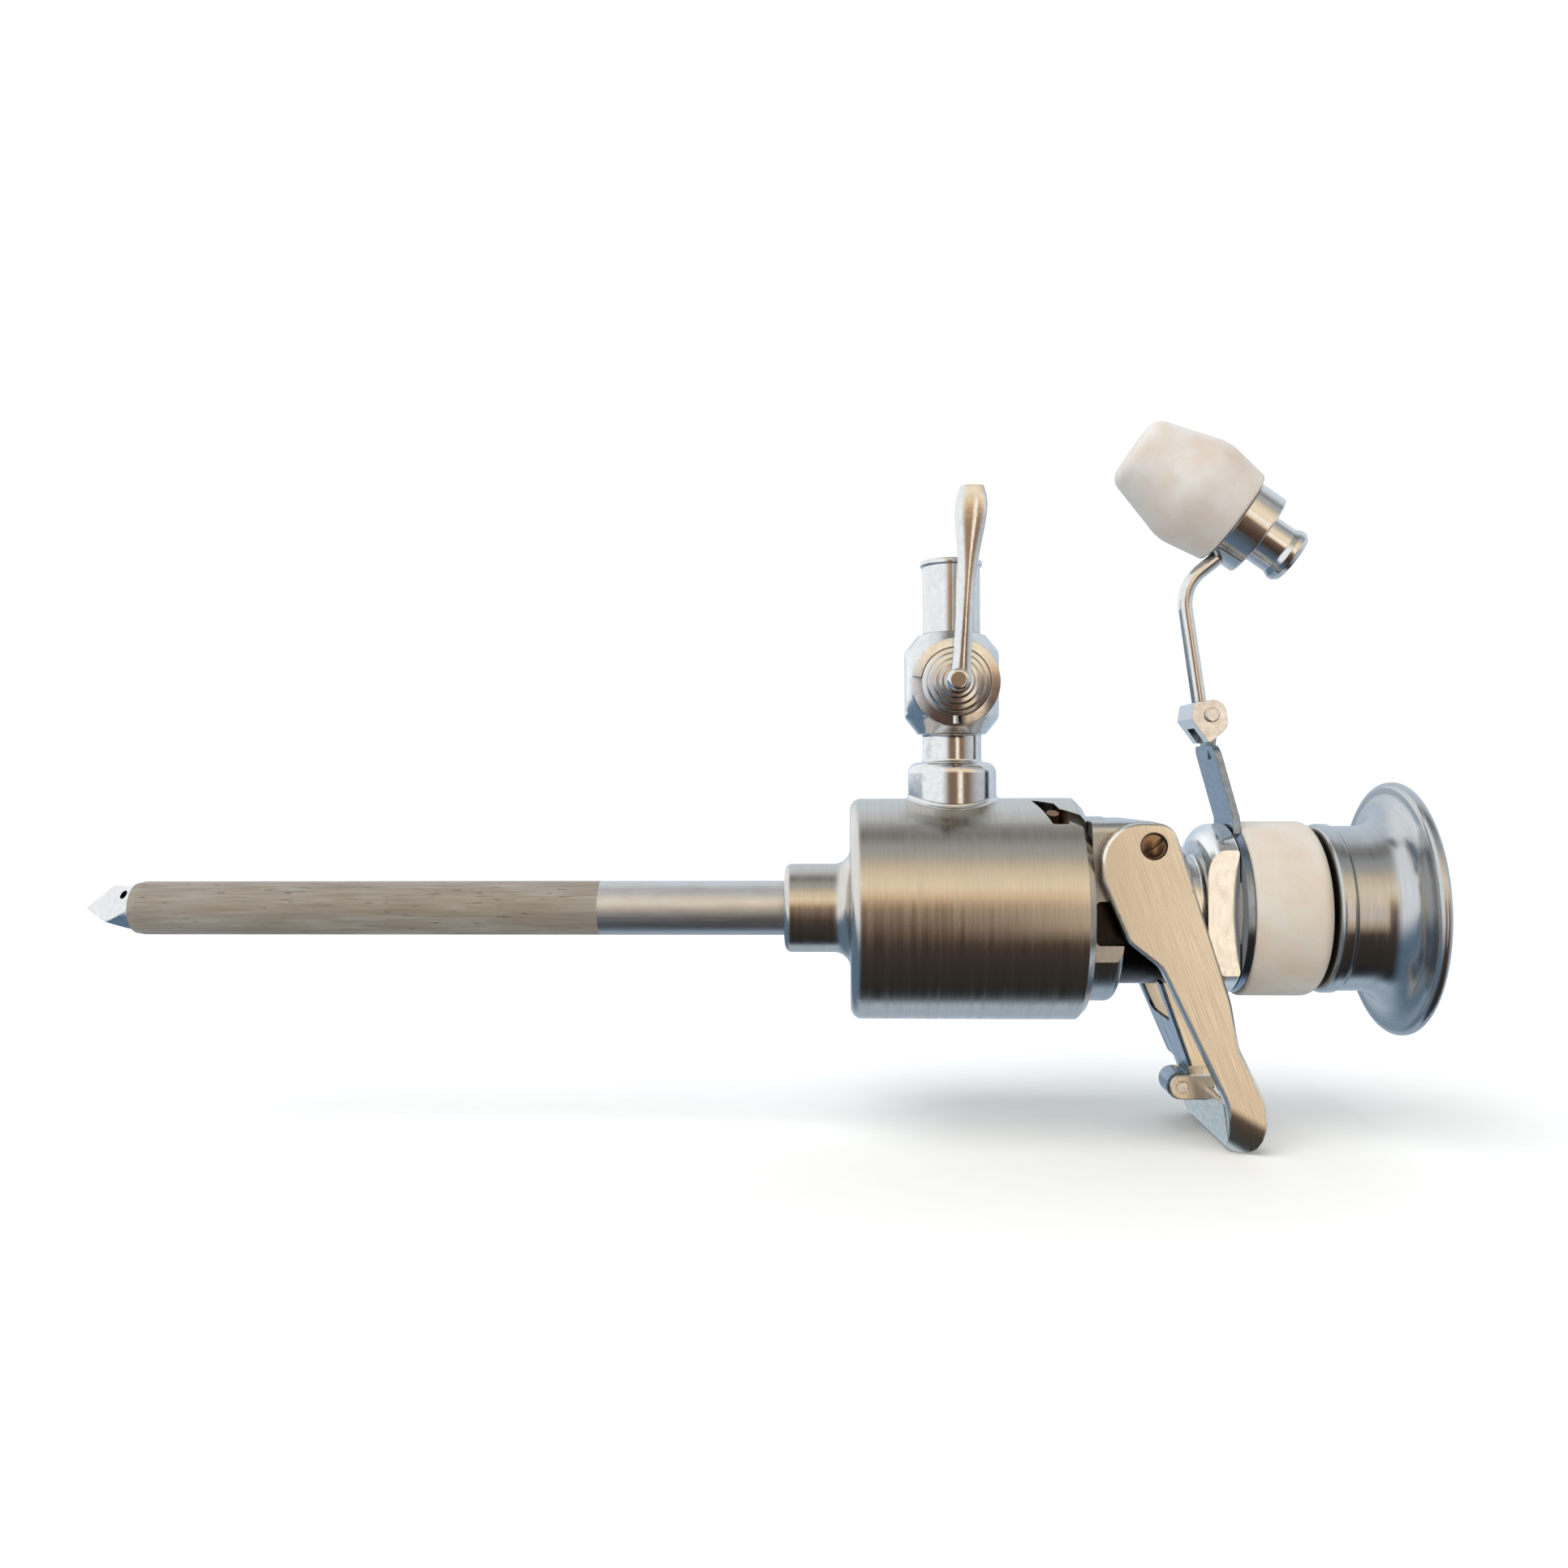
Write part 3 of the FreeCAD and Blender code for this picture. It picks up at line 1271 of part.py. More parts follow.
def leaf_spring():
    """Return leaf: eye on the cross pin, tapered blade, and two prongs beside the core's neck."""
    place = (pivot_x + s["leaf_pin_out"], 0, pivot_z - s["leaf_pin_drop"])
    leaf = Piece("leaf_spring", place=place, turn=((0, 1, 0), -s["leaf_lean"]))
    foot = s["leaf_foot_half_width"]
    top = s["leaf_top_half_width"]
    prong_inner = top - s["leaf_prong_width"]
    fork_z = s["leaf_length"] - s["leaf_prong_length"]
    tongue = s["leaf_eye_half_width"]
    shoulder = s["leaf_shoulder"]
    corner = s["leaf_corner"]
    blade = leaf.sketch("YZ_Plane", [
        (-foot, shoulder, corner),
        (-tongue, shoulder),
        (-tongue, 0),
        (tongue, 0),
        (tongue, shoulder),
        (foot, shoulder, corner),
        (top, s["leaf_length"], corner),
        (prong_inner, s["leaf_length"], corner),
        (prong_inner - corner, fork_z, s["leaf_fork_round"]),
        (-prong_inner + corner, fork_z, s["leaf_fork_round"]),
        (-prong_inner, s["leaf_length"], corner),
        (-top, s["leaf_length"], corner),
    ], shift=(0, 0, s["leaf_eye_radius"] - s["leaf_thickness"]))
    leaf.pad(blade, s["leaf_thickness"])
    eye = leaf.circle("XZ_Plane", 0, 0, s["leaf_eye_radius"])
    leaf.pad(eye, s["leaf_eye_half_width"] * 2, both=True)
    bore = leaf.circle("XZ_Plane", 0, 0, s["leaf_pin_radius"] + s["bearing_fit"])
    leaf.cut(bore, s["leaf_eye_half_width"] * 2 + 1, both=True)


def sealing_cap():
    """Ivory push-on cap with the instrument's entry hole."""
    inner = s["stub_radius"] + s["stub_lip"] + 0.1
    cap = Piece("sealing_cap")
    cap.turned([
        (cap_front, inner),
        (cap_front, s["cap_radius"], 0.5),
        (cap_back, s["cap_radius"], s["cap_round"]),
        (cap_back, s["cap_hole"] + 0.6),
        (cap_back - 0.6, s["cap_hole"]),
        (cap_back - s["cap_end"], s["cap_hole"]),
        (cap_back - s["cap_end"], inner),
    ])


def seal_washer():
    """Lip seal trapped between the stub and the cap's end wall."""
    washer = Piece("seal_washer")
    front = cap_back - s["cap_end"] - s["seal_washer_thickness"]
    washer.turned([
        (front, s["seal_hole"]),
        (front, s["stub_radius"]),
        (front + s["seal_washer_thickness"], s["stub_radius"]),
        (front + s["seal_washer_thickness"], s["seal_hole"]),
    ])


def clip_arm():
    """Swivelling ring with its strap, bent forward and rolled into a knuckle at the top."""
    arm = Piece("clip_arm")
    clip_back = clip_front + s["clip_thickness"]
    arm.turned([
        (clip_front, s["stub_radius"] + s["clip_fit"]),
        (clip_front, s["clip_radius"]),
        (clip_back, s["clip_radius"]),
        (clip_back, s["stub_radius"] + s["clip_fit"]),
    ])
    top_front = clip_front - s["strap_lean_back"]
    top_back = clip_back - s["strap_lean_back"]
    strap = arm.sketch("XZ_Plane", [
        (clip_front, s["clip_radius"] - 1.6),
        (clip_back, s["clip_radius"] - 1.6),
        (clip_back, s["strap_bend_height"], 2.0),
        (top_back, strap_top),
        (top_front, strap_top),
        (clip_front, s["strap_bend_height"], 1.0),
    ])
    arm.pad(strap, s["strap_half_width"] * 2, both=True)
    arm.round_edges(
        lambda edge: edge.BoundBox.ZMin > strap_top.value - TOUCH and edge.BoundBox.YLength < 0.01,
        as_size(1.6))
    tongue = arm.sketch("XZ_Plane", [
        (top_front + 0.25, strap_top - 2),
        (top_back + 0.15, strap_top - 2),
        (hinge_x + s["knuckle_radius"] - 0.3, s["hinge_height"]),
        (hinge_x - s["knuckle_radius"] * 0.2, s["hinge_height"]),
    ])
    arm.pad(tongue, s["knuckle_half_width"] * 2, both=True)
    knuckle = arm.circle("XZ_Plane", hinge_x, s["hinge_height"], s["knuckle_radius"])
    arm.pad(knuckle, s["knuckle_half_width"] * 2, both=True)
    bore = arm.circle("XZ_Plane", hinge_x, s["hinge_height"], s["hinge_pin_radius"])
    arm.cut(bore, s["knuckle_half_width"] * 2 + 1, both=True)


def arm_hinge_pin():
    """Pin of the arm's hinge, fixed in the knuckle and headed at both ends."""
    pin = Piece("arm_hinge_pin", place=(hinge_x, 0, s["hinge_height"]))
    end = s["fork_half_width"] + 0.45
    head = s["hinge_pin_radius"] + 0.35
    head_face = s["fork_half_width"] + 0.05
    pin.turned([
        (-end, 0),
        (-end, head, 0.2),
        (-head_face, head),
        (-head_face, s["hinge_pin_radius"]),
        (head_face, s["hinge_pin_radius"]),
        (head_face, head),
        (end, head, 0.2),
        (end, 0),
    ], along="y")


def hinge_fork():
    """Forked block that swings on the arm's pin; its flat heel lies against the strap."""
    fork = Piece("hinge_fork", place=(hinge_x, 0, s["hinge_height"]), turn=((0, 1, 0), -s["rod_lean"]))
    radius = s["fork_radius"]
    outline = fork.sketch("XZ_Plane", [
        (-s["fork_reach"] * 0.75, radius, 0.4),
        (-s["fork_reach"], -0.2, 0.4),
        (-0.9, -s["fork_heel"], 0.4),
        (radius, -radius * 0.95, radius * 0.9),
        (radius, radius, radius * 0.9),
    ])
    fork.pad(outline, s["fork_half_width"] * 2, both=True)
    gap = s["knuckle_half_width"] + s["fork_gap"]
    below = s["fork_heel"] + 2
    room = s["knuckle_radius"] + s["fork_gap"] + 0.15
    slot = fork.sketch("XZ_Plane", [
        (-room, -below),
        (radius + 1, -below),
        (radius + 1, room),
        (-room, room, room * 0.8),
    ])
    fork.cut(slot, gap * 2, both=True)
    bore = fork.circle("XZ_Plane", 0, 0, s["hinge_pin_radius"] + s["bearing_fit"])
    fork.cut(bore, s["fork_half_width"] * 2 + 1, both=True)


# The rod leaves the fork's top square to it, bends, and meets the reducer's ring from below.
reducer_x = hinge_x + s["reducer_out"]
reducer_z = s["hinge_height"] + s["reducer_rise"]
rod_start_z = s["fork_radius"]
rod_corner_z = rod_start_z + s["rod_rise"]
ring_tilt = s["reducer_tilt"] + s["rod_lean"]


def in_rod_frame(out, rise):
    """Turn an offset from the hinge into the leaning frame that the fork and rod are drawn in."""
    lean = s["rod_lean"]
    return out * cosine(lean) + rise * sine(lean), rise * cosine(lean) - out * sine(lean)


def reducer_rod():
    """Bent round rod, saddled at its end to the reducer's ring."""
    rod = Piece("reducer_rod", place=(hinge_x, 0, s["hinge_height"]), turn=((0, 1, 0), -s["rod_lean"]))
    ring_x, ring_z = in_rod_frame(s["reducer_out"], s["reducer_rise"])
    inside = s["ring_radius"] * 0.7
    end_x = ring_x + s["rod_station"] * cosine(ring_tilt) - inside * sine(ring_tilt)
    end_z = ring_z - s["rod_station"] * sine(ring_tilt) - inside * cosine(ring_tilt)
    path = rod.sketch("XZ_Plane", [
        (-0.4, rod_start_z),
        (-0.4, rod_corner_z, s["rod_bend_radius"]),
        (end_x, end_z),
    ], closed=False)
    section = rod.circle("XY_Plane", -0.4, 0, s["rod_radius"], shift=(0, 0, rod_start_z))
    pipe = rod.feature("PartDesign::AdditivePipe")
    pipe.Profile = section
    pipe.Spine = path
    saddle = rod.sketch("XZ_Plane", [
        (-8, 0), (12, 0), (12, s["ring_radius"]), (-8, s["ring_radius"]),
    ], shift=(ring_x, ring_z, 0), turn=((0, 0, 1), -ring_tilt))
    rod.revolve(saddle, "H_Axis", "PartDesign::Groove")


def reducer_piece(label):
    """A piece on the reducer's own axis, with its origin at the front face of the ring."""
    return Piece(label, place=(reducer_x, 0, reducer_z), turn=((0, 1, 0), s["reducer_tilt"]))


def reducer_body():
    """Ring and nozzle of the reducer, bored through, with the spigot that holds its cap."""
    nozzle_end = s["ring_length"] + s["reducer_nozzle_length"]
    rim = s["reducer_nozzle_radius"] + s["reducer_rim"]
    body = reducer_piece("reducer_body")
    body.turned([
        (-s["reducer_spigot_length"], s["reducer_bore"]),
        (-s["reducer_spigot_length"], s["reducer_spigot_radius"], 0.5),
        (0, s["reducer_spigot_radius"]),
        (0, s["ring_radius"], 0.3),
        (s["ring_length"], s["ring_radius"], 0.3),
        (s["ring_length"], s["reducer_nozzle_radius"]),
        (nozzle_end - s["reducer_rim_length"], s["reducer_nozzle_radius"], 0.4),
        (nozzle_end - s["reducer_rim_length"] * 0.65, rim, 0.3),
        (nozzle_end - s["reducer_rim_length"] * 0.3, rim, 0.3),
        (nozzle_end, s["reducer_nozzle_radius"] - 0.1),
        (nozzle_end, s["reducer_bore"]),
    ])


def reducer_cap():
    """Ivory cap of the reducer: widening from the ring, then drawn in to its entry."""
    inner = s["reducer_spigot_radius"] + 0.05
    seal_back = -s["reducer_spigot_length"] - s["reducer_seal_thickness"]
    cap = reducer_piece("reducer_cap")
    cap.turned([
        (-0.05, inner),
        (-0.05, s["reducer_cap_foot"], 0.6),
        (-s["reducer_belly_station"], s["reducer_cap_belly"], 7.0),
        (-s["reducer_cap_length"], s["reducer_cap_end"], s["reducer_cap_round"]),
        (-s["reducer_cap_length"], s["reducer_cap_hole"] + 0.5),
        (-s["reducer_cap_length"] + 0.5, s["reducer_cap_hole"]),
        (seal_back, s["reducer_cap_hole"]),
        (seal_back, inner),
    ])


def reducer_seal():
    """Lip seal in front of the reducer's spigot."""
    seal = reducer_piece("reducer_seal")
    back = -s["reducer_spigot_length"]
    seal.turned([
        (back - s["reducer_seal_thickness"], s["reducer_seal_hole"]),
        (back - s["reducer_seal_thickness"], s["reducer_spigot_radius"]),
        (back, s["reducer_spigot_radius"]),
        (back, s["reducer_seal_hole"]),
    ])


def obturator_shaft():
    """Solid shaft from the tip to the head, drilled at both ends."""
    shaft = Piece("obturator_shaft")
    end = head_front + s["head_bore_depth"]
    shaft.turned([
        (tip_root, s["tip_spigot_radius"]),
        (tip_root, s["obturator_radius"]),
        (end, s["obturator_radius"]),
        (end, s["head_screw_shank"]),
        (end - 6, s["head_screw_shank"]),
        (end - 6, 0),
        (tip_root + s["tip_spigot_length"], 0),
        (tip_root + s["tip_spigot_length"], s["tip_spigot_radius"]),
    ])


def obturator_tip():
    """Pyramidal point: three flats on a round stem, one ridge up, and a vent hole at a flat's root."""
    apex = tube_end - s["tip_reach"]
    tip = Piece("obturator_tip")
    tip.turned([
        (apex, 0),
        (apex, s["obturator_radius"]),
        (tip_root, s["obturator_radius"]),
        (tip_root, s["tip_spigot_radius"]),
        (tip_root + s["tip_spigot_length"], s["tip_spigot_radius"]),
        (tip_root + s["tip_spigot_length"], 0),
    ])
    reach = s["tip_length"]
    slope = tangent(s["tip_half_angle"])
    facet = tip.sketch("XZ_Plane", [
        (apex - PAST, slope * PAST),
        (apex + reach, -(reach * slope)),
        (apex + reach, -(reach * slope) - s["obturator_radius"] * 2),
        (apex - PAST, -(reach * slope) - s["obturator_radius"] * 2),
    ])
    flat = tip.cut(facet, s["obturator_radius"] * 4, both=True)
    tip.pattern([flat], "X_Axis", 3)
    vent_angle = s["vent_angle"]
    vent = tip.circle("XY_Plane", apex + s["vent_station"], 0, s["vent_radius"],
                      turn=((1, 0, 0), vent_angle))
    bind(vent, "AttachmentOffset.Base.y", -s["obturator_radius"] * sine(vent_angle))
    bind(vent, "AttachmentOffset.Base.z", s["obturator_radius"] * cosine(vent_angle))
    tip.cut(vent, s["vent_depth"])
    tip.body.Placement = FreeCAD.Placement(
        FreeCAD.Vector(), FreeCAD.Rotation(FreeCAD.Vector(1, 0, 0), s["tip_roll"].value))
    bind(tip.body, "Placement.Rotation.Angle", s["tip_roll"])


def obturator_head():
    """Trumpet-shaped head: beaded neck, deep flare, rounded rim and a dished face."""
    rim_front = rim_back - s["rim_thickness"]
    bead_back = head_front + s["head_bead_length"]
    head = Piece("obturator_head")
    head.turned([
        (head_front, s["obturator_radius"]),
        (head_front, s["head_bead_radius"], 0.8),
        (bead_back, s["head_bead_radius"], 0.5),
        (bead_back + 0.5, s["head_neck_radius"]),
        (rim_front, s["head_neck_radius"], s["head_flare"]),
        (rim_front, s["rim_radius"], s["rim_round"]),
        (rim_back, s["rim_radius"], s["rim_round"]),
        (rim_back, s["dish_radius"], 0.8),
        (rim_back - s["dish_depth"], s["dish_radius"] - 2.5, 2.0),
        (rim_back - s["dish_depth"], s["head_screw_shank"]),
        (head_front + s["head_bore_depth"], s["head_screw_shank"]),
        (head_front + s["head_bore_depth"], s["obturator_radius"]),
    ])


def head_screw():
    """Slotted screw that holds the head on the shaft."""
    seat = rim_back - s["dish_depth"]
    top = seat + s["head_screw_depth"]
    end = head_front + s["head_bore_depth"] - 5.5
    screw = Piece("head_screw")
    screw.turned([
        (end, 0),
        (end, s["head_screw_shank"]),
        (seat, s["head_screw_shank"]),
        (seat, s["head_screw_radius"]),
        (top, s["head_screw_radius"], 0.5),
        (top, 0),
    ])
    half = s["screw_slot"] * 0.8
    reach = s["head_screw_radius"] + 1
    slot = screw.sketch("YZ_Plane", [
        (-reach, -half), (reach, -half), (reach, half), (-reach, half),
    ], shift=(0, 0, top))
    screw.cut(slot, s["screw_slot_depth"] * 1.6)


BUILDERS = [
    cannula_tube, insulating_sleeve, valve_housing, stopcock_body, luer_nozzle, stopcock_plug,
    tap_stop_pin, plug_spring_washer, plug_nut, tap_lever, valve_core, bayonet_pins, core_seal_ring,
    valve_neck, neck_gasket, flap_shaft, valve_flap, flap_seal, flap_spring, yoke_lever,
    pivot_screws, yoke_cross_pin, leaf_spring, sealing_cap, seal_washer, clip_arm, arm_hinge_pin,
    hinge_fork, reducer_rod, reducer_body, reducer_cap, reducer_seal, obturator_shaft,
    obturator_tip, obturator_head, head_screw,
]


def check_and_write():
    """Stop if any object failed, then write each sub-part to its own file."""
    doc.recompute()
    failed = [item.Label for item in doc.Objects if "Invalid" in item.State or "Error" in item.State]
    for item in sub_parts:
        if item.Shape.isNull() or not item.Shape.isValid() or not item.Shape.Solids:
            failed.append(item.Label)
    if failed:
        raise RuntimeError("these objects failed: %s" % ", ".join(failed))
    os.makedirs("parts", exist_ok=True)
    for item in sub_parts:
        item.Shape.exportStep("parts/%s.step" % item.Label)
        box = item.Shape.BoundBox
        print("%-20s %d solid(s) %9.2f mm3  x %.2f..%.2f  y %.2f..%.2f  z %.2f..%.2f" % (
            item.Label, len(item.Shape.Solids), item.Shape.Volume,
            box.XMin, box.XMax, box.YMin, box.YMax, box.ZMin, box.ZMax))


for build in BUILDERS:
    build()
check_and_write()
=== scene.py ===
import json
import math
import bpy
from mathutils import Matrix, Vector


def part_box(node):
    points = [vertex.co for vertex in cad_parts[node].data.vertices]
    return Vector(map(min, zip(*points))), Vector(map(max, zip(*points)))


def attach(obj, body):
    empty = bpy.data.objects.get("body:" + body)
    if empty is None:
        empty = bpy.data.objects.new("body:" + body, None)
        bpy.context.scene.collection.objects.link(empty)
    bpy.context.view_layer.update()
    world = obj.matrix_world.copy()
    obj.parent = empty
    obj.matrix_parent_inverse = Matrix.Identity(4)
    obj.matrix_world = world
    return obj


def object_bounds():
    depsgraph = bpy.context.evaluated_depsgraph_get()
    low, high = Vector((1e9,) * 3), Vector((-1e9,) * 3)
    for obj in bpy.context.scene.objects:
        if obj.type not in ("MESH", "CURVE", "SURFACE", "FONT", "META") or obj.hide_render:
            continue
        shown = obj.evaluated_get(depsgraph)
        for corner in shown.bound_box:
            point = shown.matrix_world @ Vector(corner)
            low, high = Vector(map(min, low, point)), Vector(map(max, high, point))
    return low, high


bl_info = {
    "name": "Trocar finish",
    "version": (1, 0, 0),
    "blender": (4, 5, 0),
    "location": "3D View > Sidebar > Trocar",
    "description": "Materials, fine detail, light and camera for a laparoscopic trocar",
    "category": "Object",
}

import bpy
import numpy as np
from mathutils import Matrix, Vector

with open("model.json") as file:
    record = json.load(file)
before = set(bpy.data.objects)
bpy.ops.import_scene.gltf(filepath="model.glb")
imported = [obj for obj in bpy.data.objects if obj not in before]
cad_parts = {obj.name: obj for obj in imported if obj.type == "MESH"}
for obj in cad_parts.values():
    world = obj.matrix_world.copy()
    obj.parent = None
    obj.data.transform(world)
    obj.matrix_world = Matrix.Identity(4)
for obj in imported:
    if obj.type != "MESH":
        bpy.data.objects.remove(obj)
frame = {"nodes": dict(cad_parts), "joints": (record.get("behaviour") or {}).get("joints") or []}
CAD_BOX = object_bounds()

MM = 0.001
PANEL_TAB = "Trocar"


def hinge_place(name):
    """A point on a hinge's axis, in metres."""
    return Vector(next(joint["pos_m"] for joint in frame["joints"] if joint["name"] == name))


def post_radius(node, place, low, high):
    """Greatest distance between an upright axis and a node's points that lie between two heights."""
    vertices = frame["nodes"][node].data.vertices
    points = np.zeros((len(vertices), 3), np.float32)
    vertices.foreach_get("co", points.ravel())
    ring = points[(points[:, 2] > low) & (points[:, 2] < high)]
    return float(np.hypot(ring[:, 0] - place.x, ring[:, 1] - place.y).max())


LOWEST = CAD_BOX[0][2]
TAP_AXIS = hinge_place("tap_turn")
LEVER_AXIS = hinge_place("lever_press")
DRUM_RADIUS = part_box("valve_housing")[1].z
BARREL_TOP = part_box("stopcock_body")[1].z
FOOT_RADIUS = post_radius("stopcock_body", TAP_AXIS, DRUM_RADIUS, DRUM_RADIUS + 5 * MM)
NOZZLE_RADIUS = post_radius("luer_nozzle", TAP_AXIS, BARREL_TOP - 0.1 * MM, BARREL_TOP + 1 * MM)

# The middle of the reducer's ring, from the hinge that it folds on, and how far its axis leans.
REDUCER_PLACE = hinge_place("reducer_flip") + Vector((4.35, 0, 28.75)) * MM
REDUCER_LEAN = math.radians(35.7)

# The core's milled windows begin behind the drum, and its neck begins behind its flange; painted
# shade covers both from there.
WINDOW_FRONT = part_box("valve_housing")[1].x + 0.4 * MM
WINDOW_HALF_WIDTH = 9.8 * MM
WINDOW_LOWEST = -4.3 * MM
NECK_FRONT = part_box("valve_core")[1].x - 8.85 * MM
EAR_UNDERSIDE = LEVER_AXIS.z - 7.4 * MM

# Faces that polishing has left slightly crowned: the axis, the reach round it, and the slope there.
BOSS_DOME = (TAP_AXIS, 7.6 * MM, 0.3)
PLUG_DOME = (TAP_AXIS, 7.6 * MM, 0.45)
SCREW_DOME = (LEVER_AXIS, 3 * MM, 0.6)

# Where the clouds of yellowed silicone on the two caps are centred.
CAP_CLOUDS = (70 * MM, 0, 0)
REDUCER_CLOUDS = (58 * MM, 0, 62 * MM)

# Nearly all of a noise pattern lies between these two values.
NOISE = (0.3, 0.7)


def linear(hex_colour):
    """An sRGB hex colour as linear red, green and blue, with an alpha of 1."""
    parts = np.array([int(hex_colour[i:i + 2], 16) for i in (0, 2, 4)]) / 255
    low = parts <= 0.04045
    return (*np.where(low, parts / 12.92, ((parts + 0.055) / 1.055) ** 2.4).tolist(), 1.0)


def darker(colour, share):
    """A colour with its red, green and blue times share."""
    return (*(part * share for part in colour[:3]), 1.0)


def colour_property(name, description, hex_colour):
    return bpy.props.FloatVectorProperty(
        name=name, description=description, subtype="COLOR", size=4, min=0, max=1,
        default=linear(hex_colour))


def length_property(name, description, millimetres):
    return bpy.props.FloatProperty(
        name=name, description=description, unit="LENGTH", subtype="DISTANCE", precision=5,
        default=millimetres * MM)


def angle_property(name, description, degrees):
    return bpy.props.FloatProperty(
        name=name, description=description, unit="ROTATION", subtype="ANGLE",
        default=math.radians(degrees))


def strength_property(name, description, value):
    return bpy.props.FloatProperty(name=name, description=description, min=0, default=value)


class StageSettings(bpy.types.PropertyGroup):
    """Where the camera stands, and how the studio is lit."""

    camera_place: bpy.props.FloatVectorProperty(
        name="Camera place", description="Where the camera stands", subtype="TRANSLATION",
        unit="LENGTH", size=3, precision=5, default=(8.81 * MM, -196.6 * MM, 18.3 * MM))
    camera_yaw: angle_property("Camera yaw", "How far the camera looks to the left", 2.6)
    camera_roll: angle_property("Camera roll", "How far the camera leans to the right", 0.24)
    focal_length: bpy.props.FloatProperty(
        name="Focal length", description="Lens of the camera, on a 36 mm sensor",
        subtype="DISTANCE_CAMERA", unit="CAMERA", default=30.56)
    floor_colour: colour_property("Floor", "Colour of the plain floor", "DEDEDC")
    paper_colour: colour_property("Backdrop", "Colour of the backlit paper", "F4F5F6")
    paper_strength: strength_property("Backdrop light", "Strength of the backlit paper", 1.2)
    sun_strength: strength_property("Soft light", "Strength of the large soft light", 2.2)
    sun_angle: angle_property("Softness", "How large both lights look from the object", 50)
    room_strength: strength_property("Room", "Strength of the room that the steel mirrors", 1.5)
    left_low: colour_property("Left wall, low", "Left wall below the horizon", "5F758C")
    left_high: colour_property("Left wall, high", "Left wall above the horizon", "EEF3F8")
    right_wall: colour_property("Right wall", "Pale wall at the head's end", "C9D4DF")
    card: colour_property("Cream card", "Card that the lever and the neck mirror", "F2DCC0")
    card_strip: colour_property("Card's strip", "The whiter part of the card", "FFF6E8")


class SteelSettings(bpy.types.PropertyGroup):
    """Colours and grain of the steel pieces."""

    bright: colour_property("Polished steel", "Electropolished stainless steel", "D6D4D1")
    drum: colour_property("Brushed drum", "Stainless steel, brushed on the lathe", "CBC5BC")
    turned: colour_property("Turned neck", "Stainless steel, fine-turned and left bright", "E8E6E2")
    champagne: colour_property("Brushed lever", "Stainless steel, brushed lengthwise", "E8DFD0")
    blued: colour_property("Spring steel", "Tempered spring steel", "8996A3")
    browned: colour_property("Browned steel", "Screws, browned in hot oil", "8A705A")
    # Painted shade: the black laid on the core's window floors and neck, where shade falls.
    scale: colour_property("Black scale", "Black that the heat treatment leaves", "2A2622")
    satin: colour_property("Satin steel", "Bead-blasted stainless steel", "BDBDBC")
    bronze: colour_property("Bronze", "Aluminium bronze of the bayonet pins", "8C6A48")
    # Painted shade: the dark colour laid into narrow recesses, where shade falls.
    recess_shade: colour_property("Grime", "Dark film in the narrow recesses", "15110E")
    stroke: length_property("Brush stroke", "Width of one brush stroke on the drum", 0.14)
    dent: length_property("Stroke depth", "Depth of a brush stroke", 0.004)
    lever_lean: angle_property("Lever grain", "Lean of the brush lines on the lever", -20)
    leaf_lean: angle_property("Leaf grain", "Lean of the brush lines on the return leaf", -21.2)


class PolymerSettings(bpy.types.PropertyGroup):
    """Colours of the caps, seals and insulation."""

    ivory: colour_property("Ivory", "Silicone of the valve's cap", "BFBBB3")
    ivory_aged: colour_property("Ivory, aged", "The same silicone where it has yellowed", "BAAEA0")
    pearl: colour_property("Pearl", "Silicone of the reducer's cap", "C2C0BD")
    pearl_aged: colour_property("Pearl, aged", "The same silicone where it has yellowed", "BAADA2")
    sleeve: colour_property("Insulation", "Extruded polymer of the insulating sleeve", "908D85")
    sleeve_worn: colour_property("Insulation, worn", "The same polymer where it is rubbed", "7B6F60")
    rubber: colour_property("Seal rubber", "Black nitrile rubber of the seals", "17181A")
    bloom: colour_property("Rubber bloom", "Dusty bloom on the same rubber", "2B2A29")


class DetailSettings(bpy.types.PropertyGroup):
    """Sizes of the fine detail that stands on the steel pieces."""

    foot_bead: length_property("Foot bead", "Leg of the braze round the stopcock's foot", 0.63)
    nozzle_bead: length_property("Nozzle bead", "Leg of the braze round the nozzle's root", 0.35)


def add_node(tree, kind, inputs=None, **settings):
    """Adds one node with its settings. An input is a value, or a socket that is linked to it."""
    made = tree.nodes.new(kind)
    for name, value in settings.items():
        setattr(made, name, value)
    for name, value in (inputs or {}).items():
        if isinstance(value, bpy.types.NodeSocket):
            tree.links.new(value, made.inputs[name])
        else:
            made.inputs[name].default_value = value
    return made


def zone(tree, *limits, most=1.0):
    """Share that is most where every limit holds and nothing outside. Each limit is a number, its
    value where the zone ends, and its value where the zone is full."""
    share = most
    for number, ends, full in limits:
        held = add_node(tree, "ShaderNodeMapRange", {
            "Value": number, "From Min": ends, "From Max": full})
        share = add_node(tree, "ShaderNodeMath", {
            0: held.outputs["Result"], 1: share}, operation="MULTIPLY").outputs["Value"]
    return share


def layer(tree, under, over, *limits, most=1.0):
    """One colour laid over another in a zone, as densely as most says."""
    mixed = add_node(tree, "ShaderNodeMix", {
        0: zone(tree, *limits, most=most), 6: under, 7: over}, data_type="RGBA")
    return mixed.outputs[2]


